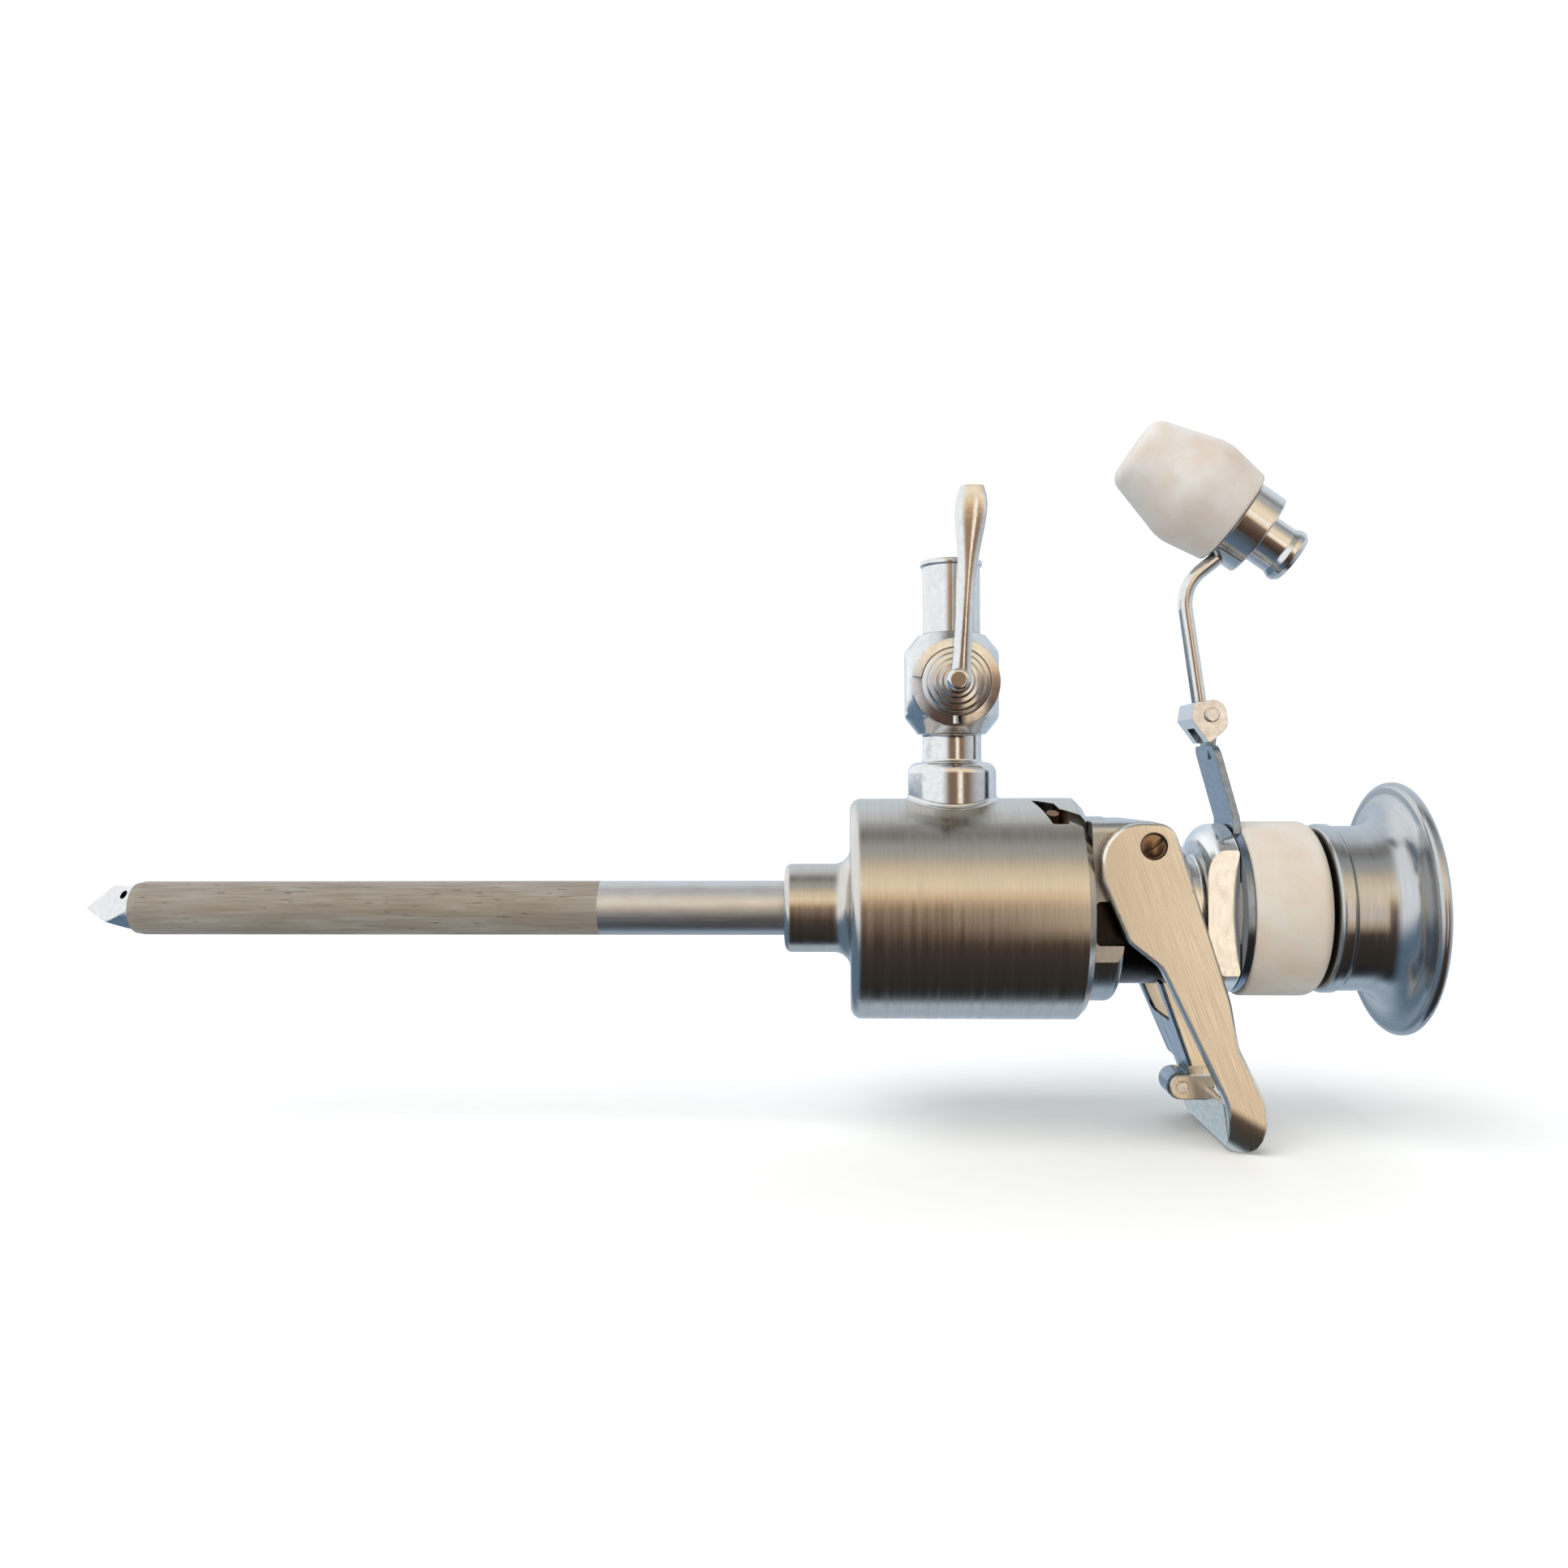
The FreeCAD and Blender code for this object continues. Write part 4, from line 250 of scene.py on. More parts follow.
def grain(tree, spacing, turn=(0, 0, 0), centre=(0, 0, 0), detail=3.0, rough=0.55):
    """Noise whose grains are as long as spacing along the axes of a turned frame, in metres."""
    placed = add_node(tree, "ShaderNodeMapping", {
        "Vector": add_node(tree, "ShaderNodeTexCoord").outputs["Object"],
        "Location": centre, "Rotation": turn, "Scale": np.broadcast_to(spacing, 3).tolist(),
    }, vector_type="TEXTURE")
    noise = add_node(tree, "ShaderNodeTexNoise", {
        "Vector": placed.outputs["Vector"], "Scale": 1.0, "Detail": detail, "Roughness": rough})
    return noise.outputs["Fac"]


def lathe_grain(tree, stroke, around, turn=(0, 0, 0), centre=(0, 0, 0)):
    """Noise in rings round the local X axis: it changes every stroke along the axis and outwards,
    and only every around metres along the ring."""
    placed = add_node(tree, "ShaderNodeMapping", {
        "Vector": add_node(tree, "ShaderNodeTexCoord").outputs["Object"],
        "Location": centre, "Rotation": turn}, vector_type="TEXTURE").outputs["Vector"]
    across = add_node(tree, "ShaderNodeVectorMath", {0: placed, 1: (0, 1, 1)}, operation="MULTIPLY")
    radius = add_node(tree, "ShaderNodeVectorMath", {0: across.outputs["Vector"]}, operation="LENGTH")
    split = add_node(tree, "ShaderNodeSeparateXYZ", {"Vector": placed})
    rolled = add_node(tree, "ShaderNodeCombineXYZ", {
        "X": split.outputs["X"], "Y": radius.outputs["Value"], "Z": split.outputs["Z"]})
    ringed = add_node(tree, "ShaderNodeVectorMath", {
        0: rolled.outputs["Vector"], 1: (stroke, stroke, around)}, operation="DIVIDE")
    noise = add_node(tree, "ShaderNodeTexNoise", {
        "Vector": ringed.outputs["Vector"], "Scale": 1.0, "Detail": 4.0, "Roughness": 0.6})
    return noise.outputs["Fac"]


def crowned(tree, normal, centre, reach, slope):
    """A normal turned slightly crowned round a crosswise axis through centre: it leans outwards in
    the X and Z directions, up to the slope at the reach, and not at all beyond it."""
    where = add_node(tree, "ShaderNodeTexCoord")
    away = add_node(tree, "ShaderNodeVectorMath", {
        0: where.outputs["Object"], 1: centre}, operation="SUBTRACT")
    lean = add_node(tree, "ShaderNodeVectorMath", {
        0: away.outputs["Vector"], 1: (slope / reach, 0, slope / reach)}, operation="MULTIPLY")
    amount = add_node(tree, "ShaderNodeVectorMath", {0: lean.outputs["Vector"]}, operation="LENGTH")
    kept = add_node(tree, "ShaderNodeVectorMath", {
        0: lean.outputs["Vector"],
        "Scale": zone(tree, (amount.outputs["Value"], slope * 1.05, slope)),
    }, operation="SCALE")
    leaning = add_node(tree, "ShaderNodeVectorMath", {
        0: normal, 1: kept.outputs["Vector"]}, operation="ADD")
    unit = add_node(tree, "ShaderNodeVectorMath", {
        0: leaning.outputs["Vector"]}, operation="NORMALIZE")
    return unit.outputs["Vector"]


def worked(tree, pattern, depth, strength=1.0, edge=None, dome=None):
    """The normal of a worked surface: its edges are broken to a small radius, it is crowned over
    a dome (centre, reach and slope), and the pattern dents it to a depth."""
    dented = {"Height": pattern, "Distance": depth, "Strength": strength}
    if edge is not None:
        broken = add_node(tree, "ShaderNodeBevel", {"Radius": edge}, samples=4)
        dented["Normal"] = broken.outputs["Normal"]
    if dome is not None:
        dented["Normal"] = crowned(tree, dented["Normal"], *dome)
    return add_node(tree, "ShaderNodeBump", dented).outputs["Normal"]


def recess_shaded(tree, colour, recess_shade):
    """A colour with painted shade: it is darker in narrow recesses, where ambient occlusion finds
    nearby surfaces.
    """
    sky = add_node(tree, "ShaderNodeAmbientOcclusion", {"Distance": 2.5 * MM}, samples=8)
    return layer(tree, colour, recess_shade, (sky.outputs["AO"], 0.6, 0.15), most=0.75)


def empty_material(name):
    """A material with an empty node tree."""
    material = bpy.data.materials.new(name)
    material.use_nodes = True
    material.node_tree.nodes.clear()
    return material


def surface(name, values, finish):
    """A material with one Principled shader. finish(tree) gives its colour, a pattern with the
    roughness at both ends of it, and its normal, or None for the mesh's own."""
    material = empty_material(name)
    tree = material.node_tree
    colour, (pattern, least, most), normal = finish(tree)
    roughness = add_node(tree, "ShaderNodeMapRange", {
        "Value": pattern, "From Min": NOISE[0], "From Max": NOISE[1],
        "To Min": least, "To Max": most})
    inputs = {**values, "Base Color": colour, "Roughness": roughness.outputs["Result"]}
    if normal is not None:
        inputs["Normal"] = normal
    shader = add_node(tree, "ShaderNodeBsdfPrincipled", inputs)
    add_node(tree, "ShaderNodeOutputMaterial", {"Surface": shader.outputs["BSDF"]})
    return material


def drawn_tube_steel(steel):
    """Stainless tube, drawn and electropolished: a hazy shine, with faint lengthwise draw lines."""
    def finish(tree):
        lines = grain(tree, (12 * MM, 0.22 * MM, 0.22 * MM))
        film = grain(tree, (3 * MM, 1.2 * MM, 1.2 * MM), detail=5.0)
        colour = layer(tree, steel.bright, darker(steel.bright, 0.88), (film, *NOISE))
        return colour, (lines, 0.38, 0.5), worked(tree, lines, 0.0012 * MM)
    return surface("drawn_tube_steel", {"Metallic": 1.0}, finish)


def extruded_insulation(polymer):
    """Filled polymer, extruded over the tube: matt, with lengthwise streaks and a few dark rubs."""
    def finish(tree):
        worn = polymer.sleeve_worn
        streaks = grain(tree, (9 * MM, 0.35 * MM, 0.5 * MM), detail=5.0, rough=0.6)
        clouds = grain(tree, (14 * MM, 2.4 * MM, 2.4 * MM), centre=(0, 0, 3 * MM))
        rubs = grain(tree, (3.2 * MM, 0.4 * MM, 0.28 * MM), centre=(11 * MM, 0, 0), detail=2.0)
        pits = grain(tree, 0.12 * MM, detail=2.0)
        colour = layer(tree, polymer.sleeve, worn, (clouds, *NOISE))
        colour = layer(tree, colour, darker(worn, 0.62), (streaks, *NOISE), most=0.6)
        colour = layer(tree, colour, darker(worn, 0.25), (rubs, 0.655, 0.70), most=0.8)
        return colour, (streaks, 0.42, 0.6), worked(tree, pits, 0.02 * MM, 0.5)
    return surface("extruded_insulation", {"Metallic": 0.0, "IOR": 1.58}, finish)


def lathe_brushed_steel(name, colour, steel, rough=(0.16, 0.3), centre=(0, 0, 0), turn=(0, 0, 0),
                        edge=0.12 * MM, dome=None, stain_and_shade=None):
    """Stainless steel brushed on the lathe: fine rings that break the mirror along the axis.
    Real strokes are about 0.04 mm wide; they are drawn wider here so that they show."""
    def finish(tree):
        rings = lathe_grain(tree, steel.stroke, 6 * MM, turn, centre)
        wide = lathe_grain(tree, steel.stroke * 6, 20 * MM, turn, centre)
        film = grain(tree, 2.5 * MM, detail=5.0)
        shade = layer(tree, colour, darker(colour, 0.72), (rings, *NOISE), most=0.5)
        shade = layer(tree, shade, darker(colour, 0.8), (film, *NOISE), most=0.35)
        # Painted shade: the colour darkens in narrow recesses.
        shade = recess_shaded(tree, shade, steel.recess_shade)
        # The caller may lay painted shade over the colour.
        if stain_and_shade is not None:
            shade = stain_and_shade(tree, shade)
        return shade, (wide, *rough), worked(tree, rings, steel.dent, 0.8, edge, dome)
    return surface(name, {"Metallic": 1.0}, finish)


def bright_steel(name, colour, steel, rough=(0.08, 0.2), dome=None):
    """Stainless steel, buffed by hand: a mirror with a soft waviness and fingerprints."""
    def finish(tree):
        waves = grain(tree, 1.6 * MM, detail=1.0)
        film = grain(tree, 0.9 * MM, detail=6.0, rough=0.65)
        filmed = layer(tree, colour, darker(colour, 0.86), (film, *NOISE))
        normal = worked(tree, waves, 0.01 * MM, 0.6, 0.15 * MM, dome)
        # Painted shade: the colour darkens in narrow recesses.
        return recess_shaded(tree, filmed, steel.recess_shade), (film, *rough), normal
    return surface(name, {"Metallic": 1.0}, finish)


def long_brushed_steel(name, colour, lean):
    """Stainless steel brushed in one direction: fine straight lines, and edges nicked dark. The
    lines are drawn about twice as wide as real ones, so that they show."""
    def finish(tree):
        turn = (0, lean, 0)
        lines = grain(tree, (0.09 * MM, 2 * MM, 9 * MM), turn=turn)
        film = grain(tree, 1.8 * MM, detail=5.0)
        nicks = grain(tree, (0.5 * MM, 0.5 * MM, 0.8 * MM), turn=turn, detail=2.0)
        rounded = add_node(tree, "ShaderNodeBevel", {"Radius": 0.45 * MM}, samples=4)
        flat = add_node(tree, "ShaderNodeNewGeometry")
        match = add_node(tree, "ShaderNodeVectorMath", {
            0: rounded.outputs["Normal"], 1: flat.outputs["Normal"]}, operation="DOT_PRODUCT")
        shade = layer(tree, colour, darker(colour, 0.8), (lines, *NOISE), most=0.2)
        shade = layer(tree, shade, darker(colour, 0.85), (film, *NOISE), most=0.25)
        nicked = layer(tree, shade, darker(colour, 0.12),
                       (match.outputs["Value"], 0.99, 0.93), (nicks, 0.62, 0.66))
        return nicked, (lines, 0.2, 0.34), worked(tree, lines, 0.0004 * MM, 0.5, 0.3 * MM)
    return surface(name, {"Metallic": 1.0}, finish)


def blasted_steel(name, colour, rough=(0.26, 0.38)):
    """Metal, bead-blasted: an even satin of tiny dimples, slightly stained."""
    def finish(tree):
        dimples = grain(tree, 0.16 * MM, detail=2.0)
        stain_and_shade = grain(tree, 3 * MM, detail=5.0)
        stained = layer(tree, colour, darker(colour, 0.85), (stain_and_shade, *NOISE))
        return stained, (stain_and_shade, *rough), worked(tree, dimples, 0.006 * MM, 0.6, 0.12 * MM)
    return surface(name, {"Metallic": 1.0}, finish)


def moulded_silicone(name, fresh, aged, centre):
    """Ivory silicone, moulded: soft sheen, faint mould texture, yellowed in clouds."""
    def finish(tree):
        clouds = grain(tree, 5 * MM, centre=centre)
        specks = grain(tree, 0.35 * MM, detail=2.0)
        skin = grain(tree, 0.14 * MM, detail=2.0)
        colour = layer(tree, fresh, aged, (clouds, *NOISE))
        colour = layer(tree, colour, darker(aged, 0.7), (specks, 0.62, 0.75), most=0.3)
        return colour, (skin, 0.36, 0.5), worked(tree, skin, 0.008 * MM, 0.6, 0.2 * MM)
    # Light travels about half a millimetre in filled silicone.
    return surface(name, {
        "Metallic": 0.0, "IOR": 1.41, "Subsurface Weight": 0.25, "Subsurface Scale": 0.5 * MM,
    }, finish)


def moulded_rubber(polymer):
    """Black nitrile rubber, moulded: dull, with a dusty bloom."""
    def finish(tree):
        bloom = grain(tree, 0.8 * MM, detail=5.0)
        skin = grain(tree, 0.12 * MM, detail=2.0)
        colour = layer(tree, polymer.rubber, polymer.bloom, (bloom, *NOISE))
        return colour, (bloom, 0.5, 0.7), worked(tree, skin, 0.01 * MM, 0.6)
    return surface("moulded_rubber", {"Metallic": 0.0, "IOR": 1.52}, finish)


def paint(material, *names):
    """Gives CAD nodes a finished material in all their slots."""
    for name in names:
        for slot in frame["nodes"][name].material_slots:
            slot.material = material


def surface_grid(name, points, material, body=None, closed_u=False, closed_v=False):
    """A piece from a grid of points (rows u, columns v), with rows and columns joined up where
    the surface closes; its faces point along the cross product of the v and u directions."""
    rows, columns = points.shape[:2]
    index = np.arange(rows * columns).reshape(rows, columns)
    if closed_u:
        index = np.vstack([index, index[:1]])
    if closed_v:
        index = np.hstack([index, index[:, :1]])
    faces = np.stack(
        [index[:-1, :-1], index[:-1, 1:], index[1:, 1:], index[1:, :-1]], -1).reshape(-1, 4)
    mesh = bpy.data.meshes.new(name)
    mesh.from_pydata(points.reshape(-1, 3).tolist(), [], faces.tolist())
    mesh.polygons.foreach_set("use_smooth", np.ones(len(faces), bool))
    mesh.materials.append(material)
    piece = bpy.data.objects.new(name, mesh)
    bpy.context.scene.collection.objects.link(piece)
    mesh.update()
    if body is not None:
        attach(piece, body)
    return piece


def full_circle(steps=96):
    """Angles round a circle, as the columns of a grid."""
    return np.linspace(0, 2 * math.pi, steps, endpoint=False)[None, :]


def braze_bead(name, place, root, leg, material, body, drum=None):
    """Concave bead of braze round an upright post: a quarter circle of radius leg that runs down
    from the post's wall at radius root to the face it stands on, swept round the post's axis; the
    last point of the section lies inside the metal. On a drum of that radius, the face it stands
    on is the drum's surface instead of a plane."""
    quarter = np.linspace(0, math.pi / 2, 9)
    buried = leg * 0.4
    out = np.append(root + leg * (1 - np.sin(quarter)), root - buried)[:, None]
    up = np.append(leg * (1 - np.cos(quarter)), -buried)[:, None]
    around = full_circle()
    across, along = out * np.cos(around), out * np.sin(around)
    height = up + np.zeros_like(around)
    if drum is not None:
        height = height + np.sqrt(drum ** 2 - along ** 2) - drum
    points = np.array(place) + np.stack([across, along, height], -1)
    return surface_grid(name, points, material, body, closed_u=True, closed_v=True)


# The room round the object, as the steel mirrors it. The first number is the angle about the
# tube's axis in degrees: 0 is the side where the camera stands, 90 is above, 180 behind.
ROOM_BANDS = (
    (-180, "ADBCCB"), (-133, "9DACBB"), (-113, "AEC0D2"), (-101, "3A424C"), (-90, "262524"),
    (-75, "33302C"), (-59, "34302A"), (-48, "3D3632"), (-30, "3E3530"), (-18, "55423A"),
    (-6, "6D5C51"), (3, "7E6856"), (9, "A0856A"), (15, "DCC09C"), (26, "F4E6CC"), (46, "D8C8B0"),
    (58, "A8A9A5"), (70, "A0A4A8"), (84, "75736D"), (96, "8E9296"), (108, "C3CAD2"),
    (130, "CCD6E0"), (180, "ADBCCB"),
)

# Where the walls and the cream card end and where they are full: by how far a ray points to the
# right, by how far it points to the front, or by its angle about the tube's axis.
LEFT_WALL = (-0.2, -0.5)
LEFT_SKY = (math.radians(-40), math.radians(-8))
RIGHT_WALL = (0.62, 0.92)
CARD_LEFT, CARD_RIGHT = (0.165, 0.2), (0.42, 0.37)
CARD_FOOT, CARD_TOP = (math.radians(-30), math.radians(-16)), (math.radians(24), math.radians(14))
CARD_FRONT = (0.3, 0.6)
STRIP_LEFT, STRIP_FOOT = (0.252, 0.262), (math.radians(-13), math.radians(-10))


def band_colours(tree, angle):
    """Colours of the bands by the angle about the tube's axis."""
    turn = add_node(tree, "ShaderNodeMapRange", {
        "Value": angle, "From Min": -math.pi, "From Max": math.pi})
    ramp = add_node(tree, "ShaderNodeValToRGB", {"Fac": turn.outputs["Result"]})
    stops = ramp.color_ramp.elements
    while len(stops) < len(ROOM_BANDS):
        stops.new(0.5)
    for stop, (degrees, hex_colour) in zip(stops, ROOM_BANDS):
        stop.position = (degrees + 180) / 360
        stop.color = linear(hex_colour)
    return ramp.outputs["Color"]


def with_cream_card(tree, stage, room, right, front, angle):
    """The room with a cream card right of the camera, at the height of the lens, that the flat
    faces of the lever and the neck mirror; the card's right part is whiter above its foot."""
    card = layer(tree, stage.card, stage.card_strip, (right, *STRIP_LEFT), (angle, *STRIP_FOOT))
    return layer(tree, room, card, (right, *CARD_LEFT), (right, *CARD_RIGHT),
                 (angle, *CARD_FOOT), (angle, *CARD_TOP), (front, *CARD_FRONT))


def build_room(stage):
    """World whose colour follows the angle about the tube's axis, paler towards both ends."""
    world = bpy.data.worlds.new("studio_room")
    world.use_nodes = True
    bpy.context.scene.world = world
    tree = world.node_tree
    tree.nodes.clear()
    ray = add_node(tree, "ShaderNodeSeparateXYZ", {
        "Vector": add_node(tree, "ShaderNodeTexCoord").outputs["Generated"]})
    right = ray.outputs["X"]
    front = add_node(tree, "ShaderNodeMath", {
        0: ray.outputs["Y"], 1: -1.0}, operation="MULTIPLY").outputs["Value"]
    angle = add_node(tree, "ShaderNodeMath", {
        0: ray.outputs["Z"], 1: front}, operation="ARCTAN2").outputs["Value"]
    left_wall = layer(tree, stage.left_low, stage.left_high, (angle, *LEFT_SKY))
    room = layer(tree, band_colours(tree, angle), left_wall, (right, *LEFT_WALL))
    room = layer(tree, room, stage.right_wall, (right, *RIGHT_WALL), most=0.7)
    room = with_cream_card(tree, stage, room, right, front, angle)
    background = add_node(tree, "ShaderNodeBackground", {
        "Color": room, "Strength": stage.room_strength})
    add_node(tree, "ShaderNodeOutputWorld", {"Surface": background.outputs["Background"]})


# The rings of the floor's grid, the gap under the object, and the dome round it, in metres. The
# dome's section starts at a small angle below the horizon, in radians.
FLOOR_RINGS = (0.0, 0.05, 0.2, 0.6, 1.6, 3.0)
FLOOR_GAP = 0.05 * MM
DOME_RADIUS = 2.9
DOME_FOOT = -0.02

# Each light's share of the strength, and where it comes from.
LIGHTS = (("soft_light", 1.0, (-0.35, -0.55, 1.0)), ("back_light", 0.25, (0.5, 0.8, 0.6)))


def matt_floor(stage):
    """Painted board: plain, pale and matt, with the faintest roller texture."""
    def finish(tree):
        roller = grain(tree, 4 * MM)
        pale = stage.floor_colour
        return layer(tree, pale, darker(pale, 0.985), (roller, *NOISE)), (roller, 0.7, 0.8), None
    return surface("matt_floor_paint", {"Metallic": 0.0, "Specular IOR Level": 0.1}, finish)


def backlit_paper(stage):
    """Backlit paper: an even pale glow behind everything."""
    material = empty_material("backlit_paper")
    glow = add_node(material.node_tree, "ShaderNodeEmission", {
        "Color": stage.paper_colour, "Strength": stage.paper_strength})
    add_node(material.node_tree, "ShaderNodeOutputMaterial", {"Surface": glow.outputs["Emission"]})
    return material


def build_backdrop(stage):
    """A flat disc for the floor, and a dome, which is a quarter circle swept all round; the steel
    mirrors the room, not these."""
    around = full_circle()
    ring = np.stack([np.cos(around), np.sin(around), np.zeros_like(around)], -1)
    radius = np.array(FLOOR_RINGS)[:, None, None]
    under = np.array((0, 0, LOWEST - FLOOR_GAP))
    floor = surface_grid("floor", radius * ring + under, matt_floor(stage), closed_v=True)
    rise = np.linspace(DOME_FOOT, math.pi / 2, 25)[:, None, None]
    shell = DOME_RADIUS * (np.cos(rise) * ring + np.sin(rise) * np.array((0, 0, 1)))
    dome = surface_grid("backdrop", shell, backlit_paper(stage), closed_v=True)
    floor.visible_glossy = False
    for ray in ("glossy", "diffuse", "shadow", "transmission", "volume_scatter"):
        setattr(dome, "visible_" + ray, False)


def build_camera(stage):
    """Camera at the photograph's angle: level, turned a little left and leaning a little."""
    yaw, roll = stage.camera_yaw, stage.camera_roll
    forward = Vector((-math.sin(yaw), math.cos(yaw), 0))
    side = Vector((math.cos(yaw), math.sin(yaw), 0))
    up = Vector((0, 0, 1))
    right = side * math.cos(roll) - up * math.sin(roll)
    top = up * math.cos(roll) + side * math.sin(roll)
    lens = bpy.data.cameras.new("photo_camera")
    lens.lens = stage.focal_length
    lens.sensor_width = 36
    lens.clip_start = 5 * MM
    lens.clip_end = 20
    camera = bpy.data.objects.new("photo_camera", lens)
    bpy.context.scene.collection.objects.link(camera)
    turned = Matrix((right, top, -forward)).transposed().to_4x4()
    camera.matrix_world = Matrix.Translation(Vector(stage.camera_place)) @ turned
    bpy.context.scene.camera = camera
    bpy.context.scene.view_settings.view_transform = "Standard"


def build_lights(stage):
    """One very large soft light from above and in front, and a weak one from behind."""
    for name, share, place in LIGHTS:
        lamp = bpy.data.lights.new(name, "SUN")
        lamp.energy = stage.sun_strength * share
        lamp.angle = stage.sun_angle
        light = bpy.data.objects.new(name, lamp)
        light.rotation_euler = Vector(place).to_track_quat("Z", "Y").to_euler()
        light.visible_glossy = False
        bpy.context.scene.collection.objects.link(light)


class TROCAR_OT_stage(bpy.types.Operator):
    """Builds the floor, the backdrop, the light and the camera"""

    bl_idname = "trocar.stage"
    bl_label = "Stage, light and camera"

    def execute(self, context):
        stage = context.scene.trocar_stage
        build_room(stage)
        build_backdrop(stage)
        build_lights(stage)
        build_camera(stage)
        return {"FINISHED"}


class TROCAR_OT_cannula(bpy.types.Operator):
    """Finishes the tube and its insulation"""

    bl_idname = "trocar.cannula"
    bl_label = "Cannula tube and sleeve"

    def execute(self, context):
        paint(drawn_tube_steel(context.scene.trocar_steel), "cannula_tube")
        paint(extruded_insulation(context.scene.trocar_polymer), "insulating_sleeve")
        return {"FINISHED"}


class TROCAR_OT_housing(bpy.types.Operator):
    """Finishes the valve housing"""

    bl_idname = "trocar.housing"
    bl_label = "Valve housing"

    def execute(self, context):
        steel = context.scene.trocar_steel
        paint(lathe_brushed_steel("lathe_brushed_drum", steel.drum, steel), "valve_housing")
        return {"FINISHED"}


def braze_stopcock(steel, details):
    """The two beads of braze that join the stopcock to the drum and the nozzle to its barrel."""
    silver = bright_steel("silver_braze", steel.bright, steel, (0.14, 0.28))
    foot = Vector((TAP_AXIS.x, 0, DRUM_RADIUS))
    top = Vector((TAP_AXIS.x, 0, BARREL_TOP))
    beads = (
        braze_bead("braze_foot", foot, FOOT_RADIUS, details.foot_bead, silver, "cannula",
                   drum=DRUM_RADIUS),
        braze_bead("braze_nozzle", top, NOZZLE_RADIUS, details.nozzle_bead, silver, "cannula"),
    )


class TROCAR_OT_stopcock(bpy.types.Operator):
    """Finishes the stopcock, its tap and its nozzle"""

    bl_idname = "trocar.stopcock"
    bl_label = "Stopcock and tap"

    def execute(self, context):
        steel = context.scene.trocar_steel
        paint(bright_steel("buffed_stopcock_steel", steel.bright, steel, dome=BOSS_DOME),
              "stopcock_body")
        paint(bright_steel("buffed_nozzle_steel", steel.bright, steel), "luer_nozzle",
              "tap_stop_pin")
        paint(bright_steel("buffed_tap_steel", steel.bright, steel, (0.06, 0.16)), "tap_lever")
        paint(lathe_brushed_steel(
            "turned_plug_steel", steel.bright, steel, (0.1, 0.18), TAP_AXIS, (0, 0, math.pi / 2),
            edge=0.15 * MM, dome=PLUG_DOME), "stopcock_plug", "plug_nut")
        paint(blasted_steel("spring_washer_steel", steel.blued), "plug_spring_washer")
        braze_stopcock(steel, context.scene.trocar_details)
        return {"FINISHED"}


def core_steel_with_painted_shade(steel):
    """Turned steel of the core, with painted shade: the floors of its milled windows, and its neck
    behind the flange and below the ears, are painted black where shade falls."""
    def stain_and_shade(tree, shine):
        split = add_node(tree, "ShaderNodeSeparateXYZ", {
            "Vector": add_node(tree, "ShaderNodeTexCoord").outputs["Object"]})
        along, up = split.outputs["X"], split.outputs["Z"]
        aside = add_node(
            tree, "ShaderNodeMath", {0: split.outputs["Y"]}, operation="ABSOLUTE").outputs["Value"]
        blur = 0.05 * MM
        below = (up, EAR_UNDERSIDE + blur * 2, EAR_UNDERSIDE)
        # Painted shade: black on the floors of the windows and on the neck below the ears.
        floors = layer(tree, shine, steel.scale, (aside, WINDOW_HALF_WIDTH + blur, WINDOW_HALF_WIDTH),
                       (along, WINDOW_FRONT, WINDOW_FRONT + blur),
                       (up, WINDOW_LOWEST, WINDOW_LOWEST + blur), below)
        return layer(tree, floors, steel.scale, (along, NECK_FRONT, NECK_FRONT + blur), below)
    return lathe_brushed_steel("turned_core_steel", steel.satin, steel, (0.2, 0.34), stain_and_shade=stain_and_shade)


class TROCAR_OT_valve_core(bpy.types.Operator):
    """Finishes the bayonet core, its pins and seals"""

    bl_idname = "trocar.valve_core"
    bl_label = "Valve core"

    def execute(self, context):
        steel = context.scene.trocar_steel
        paint(core_steel_with_painted_shade(steel), "valve_core")
        paint(blasted_steel("aluminium_bronze", steel.bronze, (0.25, 0.4)), "bayonet_pins")
        paint(moulded_rubber(context.scene.trocar_polymer), "core_seal_ring", "neck_gasket",
              "seal_washer", "flap_seal", "reducer_seal")
        return {"FINISHED"}


class TROCAR_OT_flap(bpy.types.Operator):
    """Finishes the flap valve inside the core"""

    bl_idname = "trocar.flap"
    bl_label = "Flap valve"

    def execute(self, context):
        steel = context.scene.trocar_steel
        paint(blasted_steel("blasted_flap_steel", steel.satin), "valve_flap", "flap_shaft")
        paint(bright_steel("spring_wire_steel", steel.blued, steel), "flap_spring")
        return {"FINISHED"}


class TROCAR_OT_lever(bpy.types.Operator):
    """Finishes the yoke lever, its screws and its return leaf"""

    bl_idname = "trocar.lever"
    bl_label = "Yoke lever and leaf"

    def execute(self, context):
        steel = context.scene.trocar_steel
        paint(long_brushed_steel("brushed_lever_steel", steel.champagne, steel.lever_lean),
              "yoke_lever")
        paint(bright_steel("browned_screw_steel", steel.browned, steel, (0.18, 0.3), SCREW_DOME),
              "pivot_screws")
        paint(bright_steel("pin_steel", steel.bright, steel, (0.12, 0.26)), "yoke_cross_pin",
              "head_screw")
        paint(long_brushed_steel("tempered_leaf_steel", steel.blued, steel.leaf_lean),
              "leaf_spring")
        return {"FINISHED"}


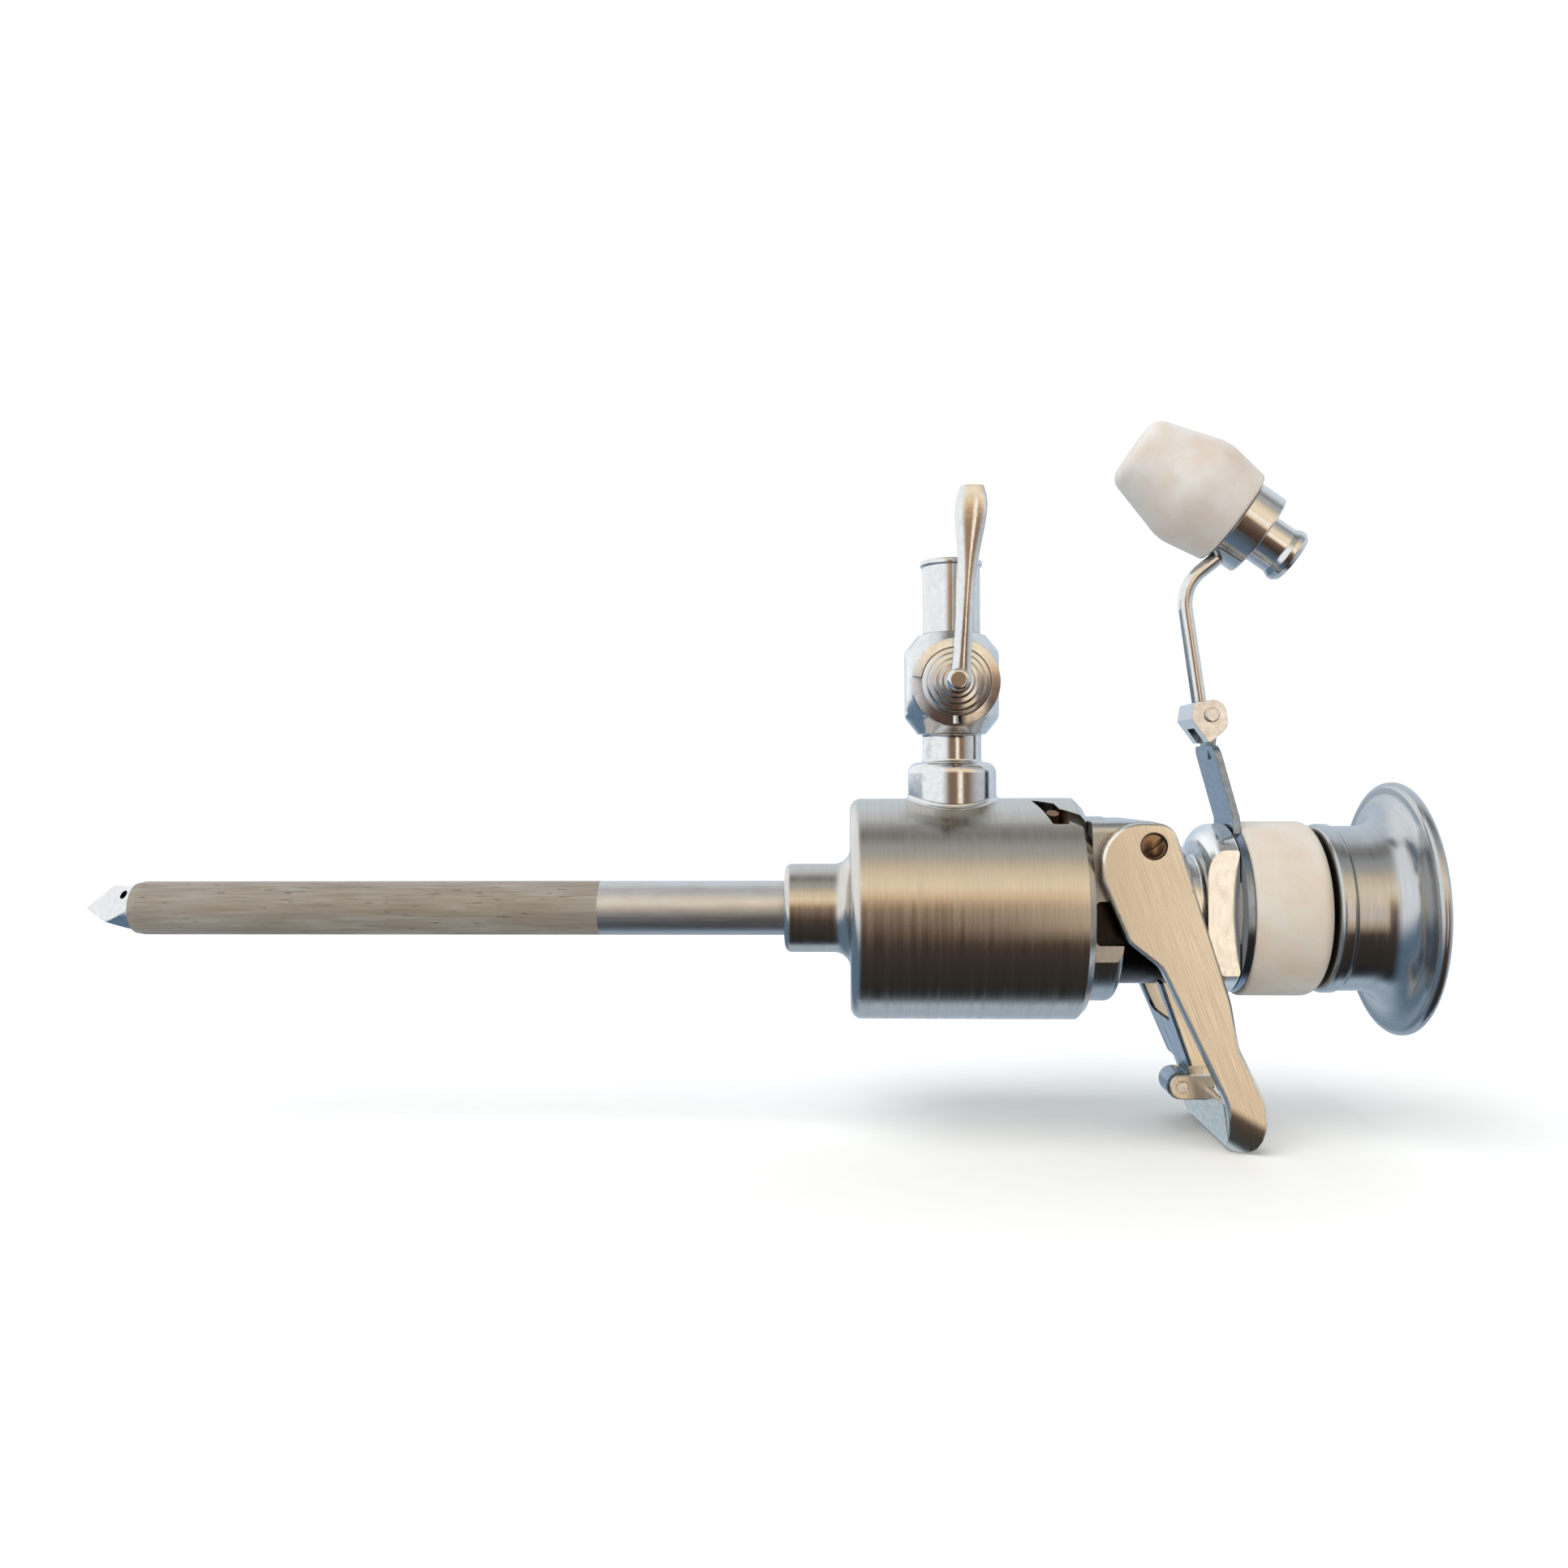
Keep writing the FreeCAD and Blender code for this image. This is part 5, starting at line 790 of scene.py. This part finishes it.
class TROCAR_OT_neck(bpy.types.Operator):
    """Finishes the valve's neck and its sealing cap"""

    bl_idname = "trocar.neck"
    bl_label = "Neck and sealing cap"

    def execute(self, context):
        steel, polymer = context.scene.trocar_steel, context.scene.trocar_polymer
        paint(lathe_brushed_steel("turned_neck_steel", steel.turned, steel, (0.1, 0.22)),
              "valve_neck")
        paint(moulded_silicone("moulded_cap_silicone", polymer.ivory, polymer.ivory_aged,
                               CAP_CLOUDS), "sealing_cap")
        return {"FINISHED"}


class TROCAR_OT_reducer(bpy.types.Operator):
    """Finishes the swivelling arm and the reducer that it carries"""

    bl_idname = "trocar.reducer"
    bl_label = "Arm and reducer"

    def execute(self, context):
        steel, polymer = context.scene.trocar_steel, context.scene.trocar_polymer
        paint(bright_steel("buffed_fork_steel", steel.bright, steel, (0.12, 0.26)),
              "arm_hinge_pin", "hinge_fork")
        paint(bright_steel("blued_arm_steel", steel.blued, steel, (0.14, 0.28)), "clip_arm")
        paint(bright_steel("buffed_rod_steel", steel.bright, steel), "reducer_rod")
        paint(lathe_brushed_steel("turned_reducer_steel", steel.bright, steel, (0.06, 0.14),
                                  REDUCER_PLACE, (0, REDUCER_LEAN, 0)), "reducer_body")
        paint(moulded_silicone("moulded_reducer_silicone", polymer.pearl, polymer.pearl_aged,
                               REDUCER_CLOUDS), "reducer_cap")
        return {"FINISHED"}


class TROCAR_OT_obturator(bpy.types.Operator):
    """Finishes the obturator: its tip, shaft and head"""

    bl_idname = "trocar.obturator"
    bl_label = "Obturator"

    def execute(self, context):
        steel = context.scene.trocar_steel
        paint(bright_steel("ground_tip_steel", steel.bright, steel, (0.1, 0.2)), "obturator_tip",
              "obturator_shaft")
        paint(lathe_brushed_steel("satin_head_steel", steel.satin, steel, (0.16, 0.28)),
              "obturator_head")
        return {"FINISHED"}


class TROCAR_PT_panel(bpy.types.Panel):
    """The trocar's pieces, in the sidebar"""

    bl_label = "Trocar finish"
    bl_idname = "TROCAR_PT_panel"
    bl_space_type = "VIEW_3D"
    bl_region_type = "UI"
    bl_category = PANEL_TAB

    def draw(self, context):
        for operator in OPERATORS:
            self.layout.operator(operator.bl_idname)


OPERATORS = (
    TROCAR_OT_stage, TROCAR_OT_cannula, TROCAR_OT_housing, TROCAR_OT_stopcock,
    TROCAR_OT_valve_core, TROCAR_OT_flap, TROCAR_OT_lever, TROCAR_OT_neck, TROCAR_OT_reducer,
    TROCAR_OT_obturator,
)
SETTINGS = (
    ("trocar_stage", StageSettings), ("trocar_steel", SteelSettings),
    ("trocar_polymer", PolymerSettings), ("trocar_details", DetailSettings),
)


def register():
    for name, group in SETTINGS:
        bpy.utils.register_class(group)
        setattr(bpy.types.Scene, name, bpy.props.PointerProperty(type=group))
    for operator in OPERATORS:
        bpy.utils.register_class(operator)
    bpy.utils.register_class(TROCAR_PT_panel)


def unregister():
    bpy.utils.unregister_class(TROCAR_PT_panel)
    for operator in reversed(OPERATORS):
        bpy.utils.unregister_class(operator)
    for name, group in reversed(SETTINGS):
        delattr(bpy.types.Scene, name)
        bpy.utils.unregister_class(group)


def main():
    register()
    bpy.ops.trocar.stage()
    bpy.ops.trocar.cannula()
    bpy.ops.trocar.housing()
    bpy.ops.trocar.stopcock()
    bpy.ops.trocar.valve_core()
    bpy.ops.trocar.flap()
    bpy.ops.trocar.lever()
    bpy.ops.trocar.neck()
    bpy.ops.trocar.reducer()
    bpy.ops.trocar.obturator()


if __name__ == "__main__":
    main()
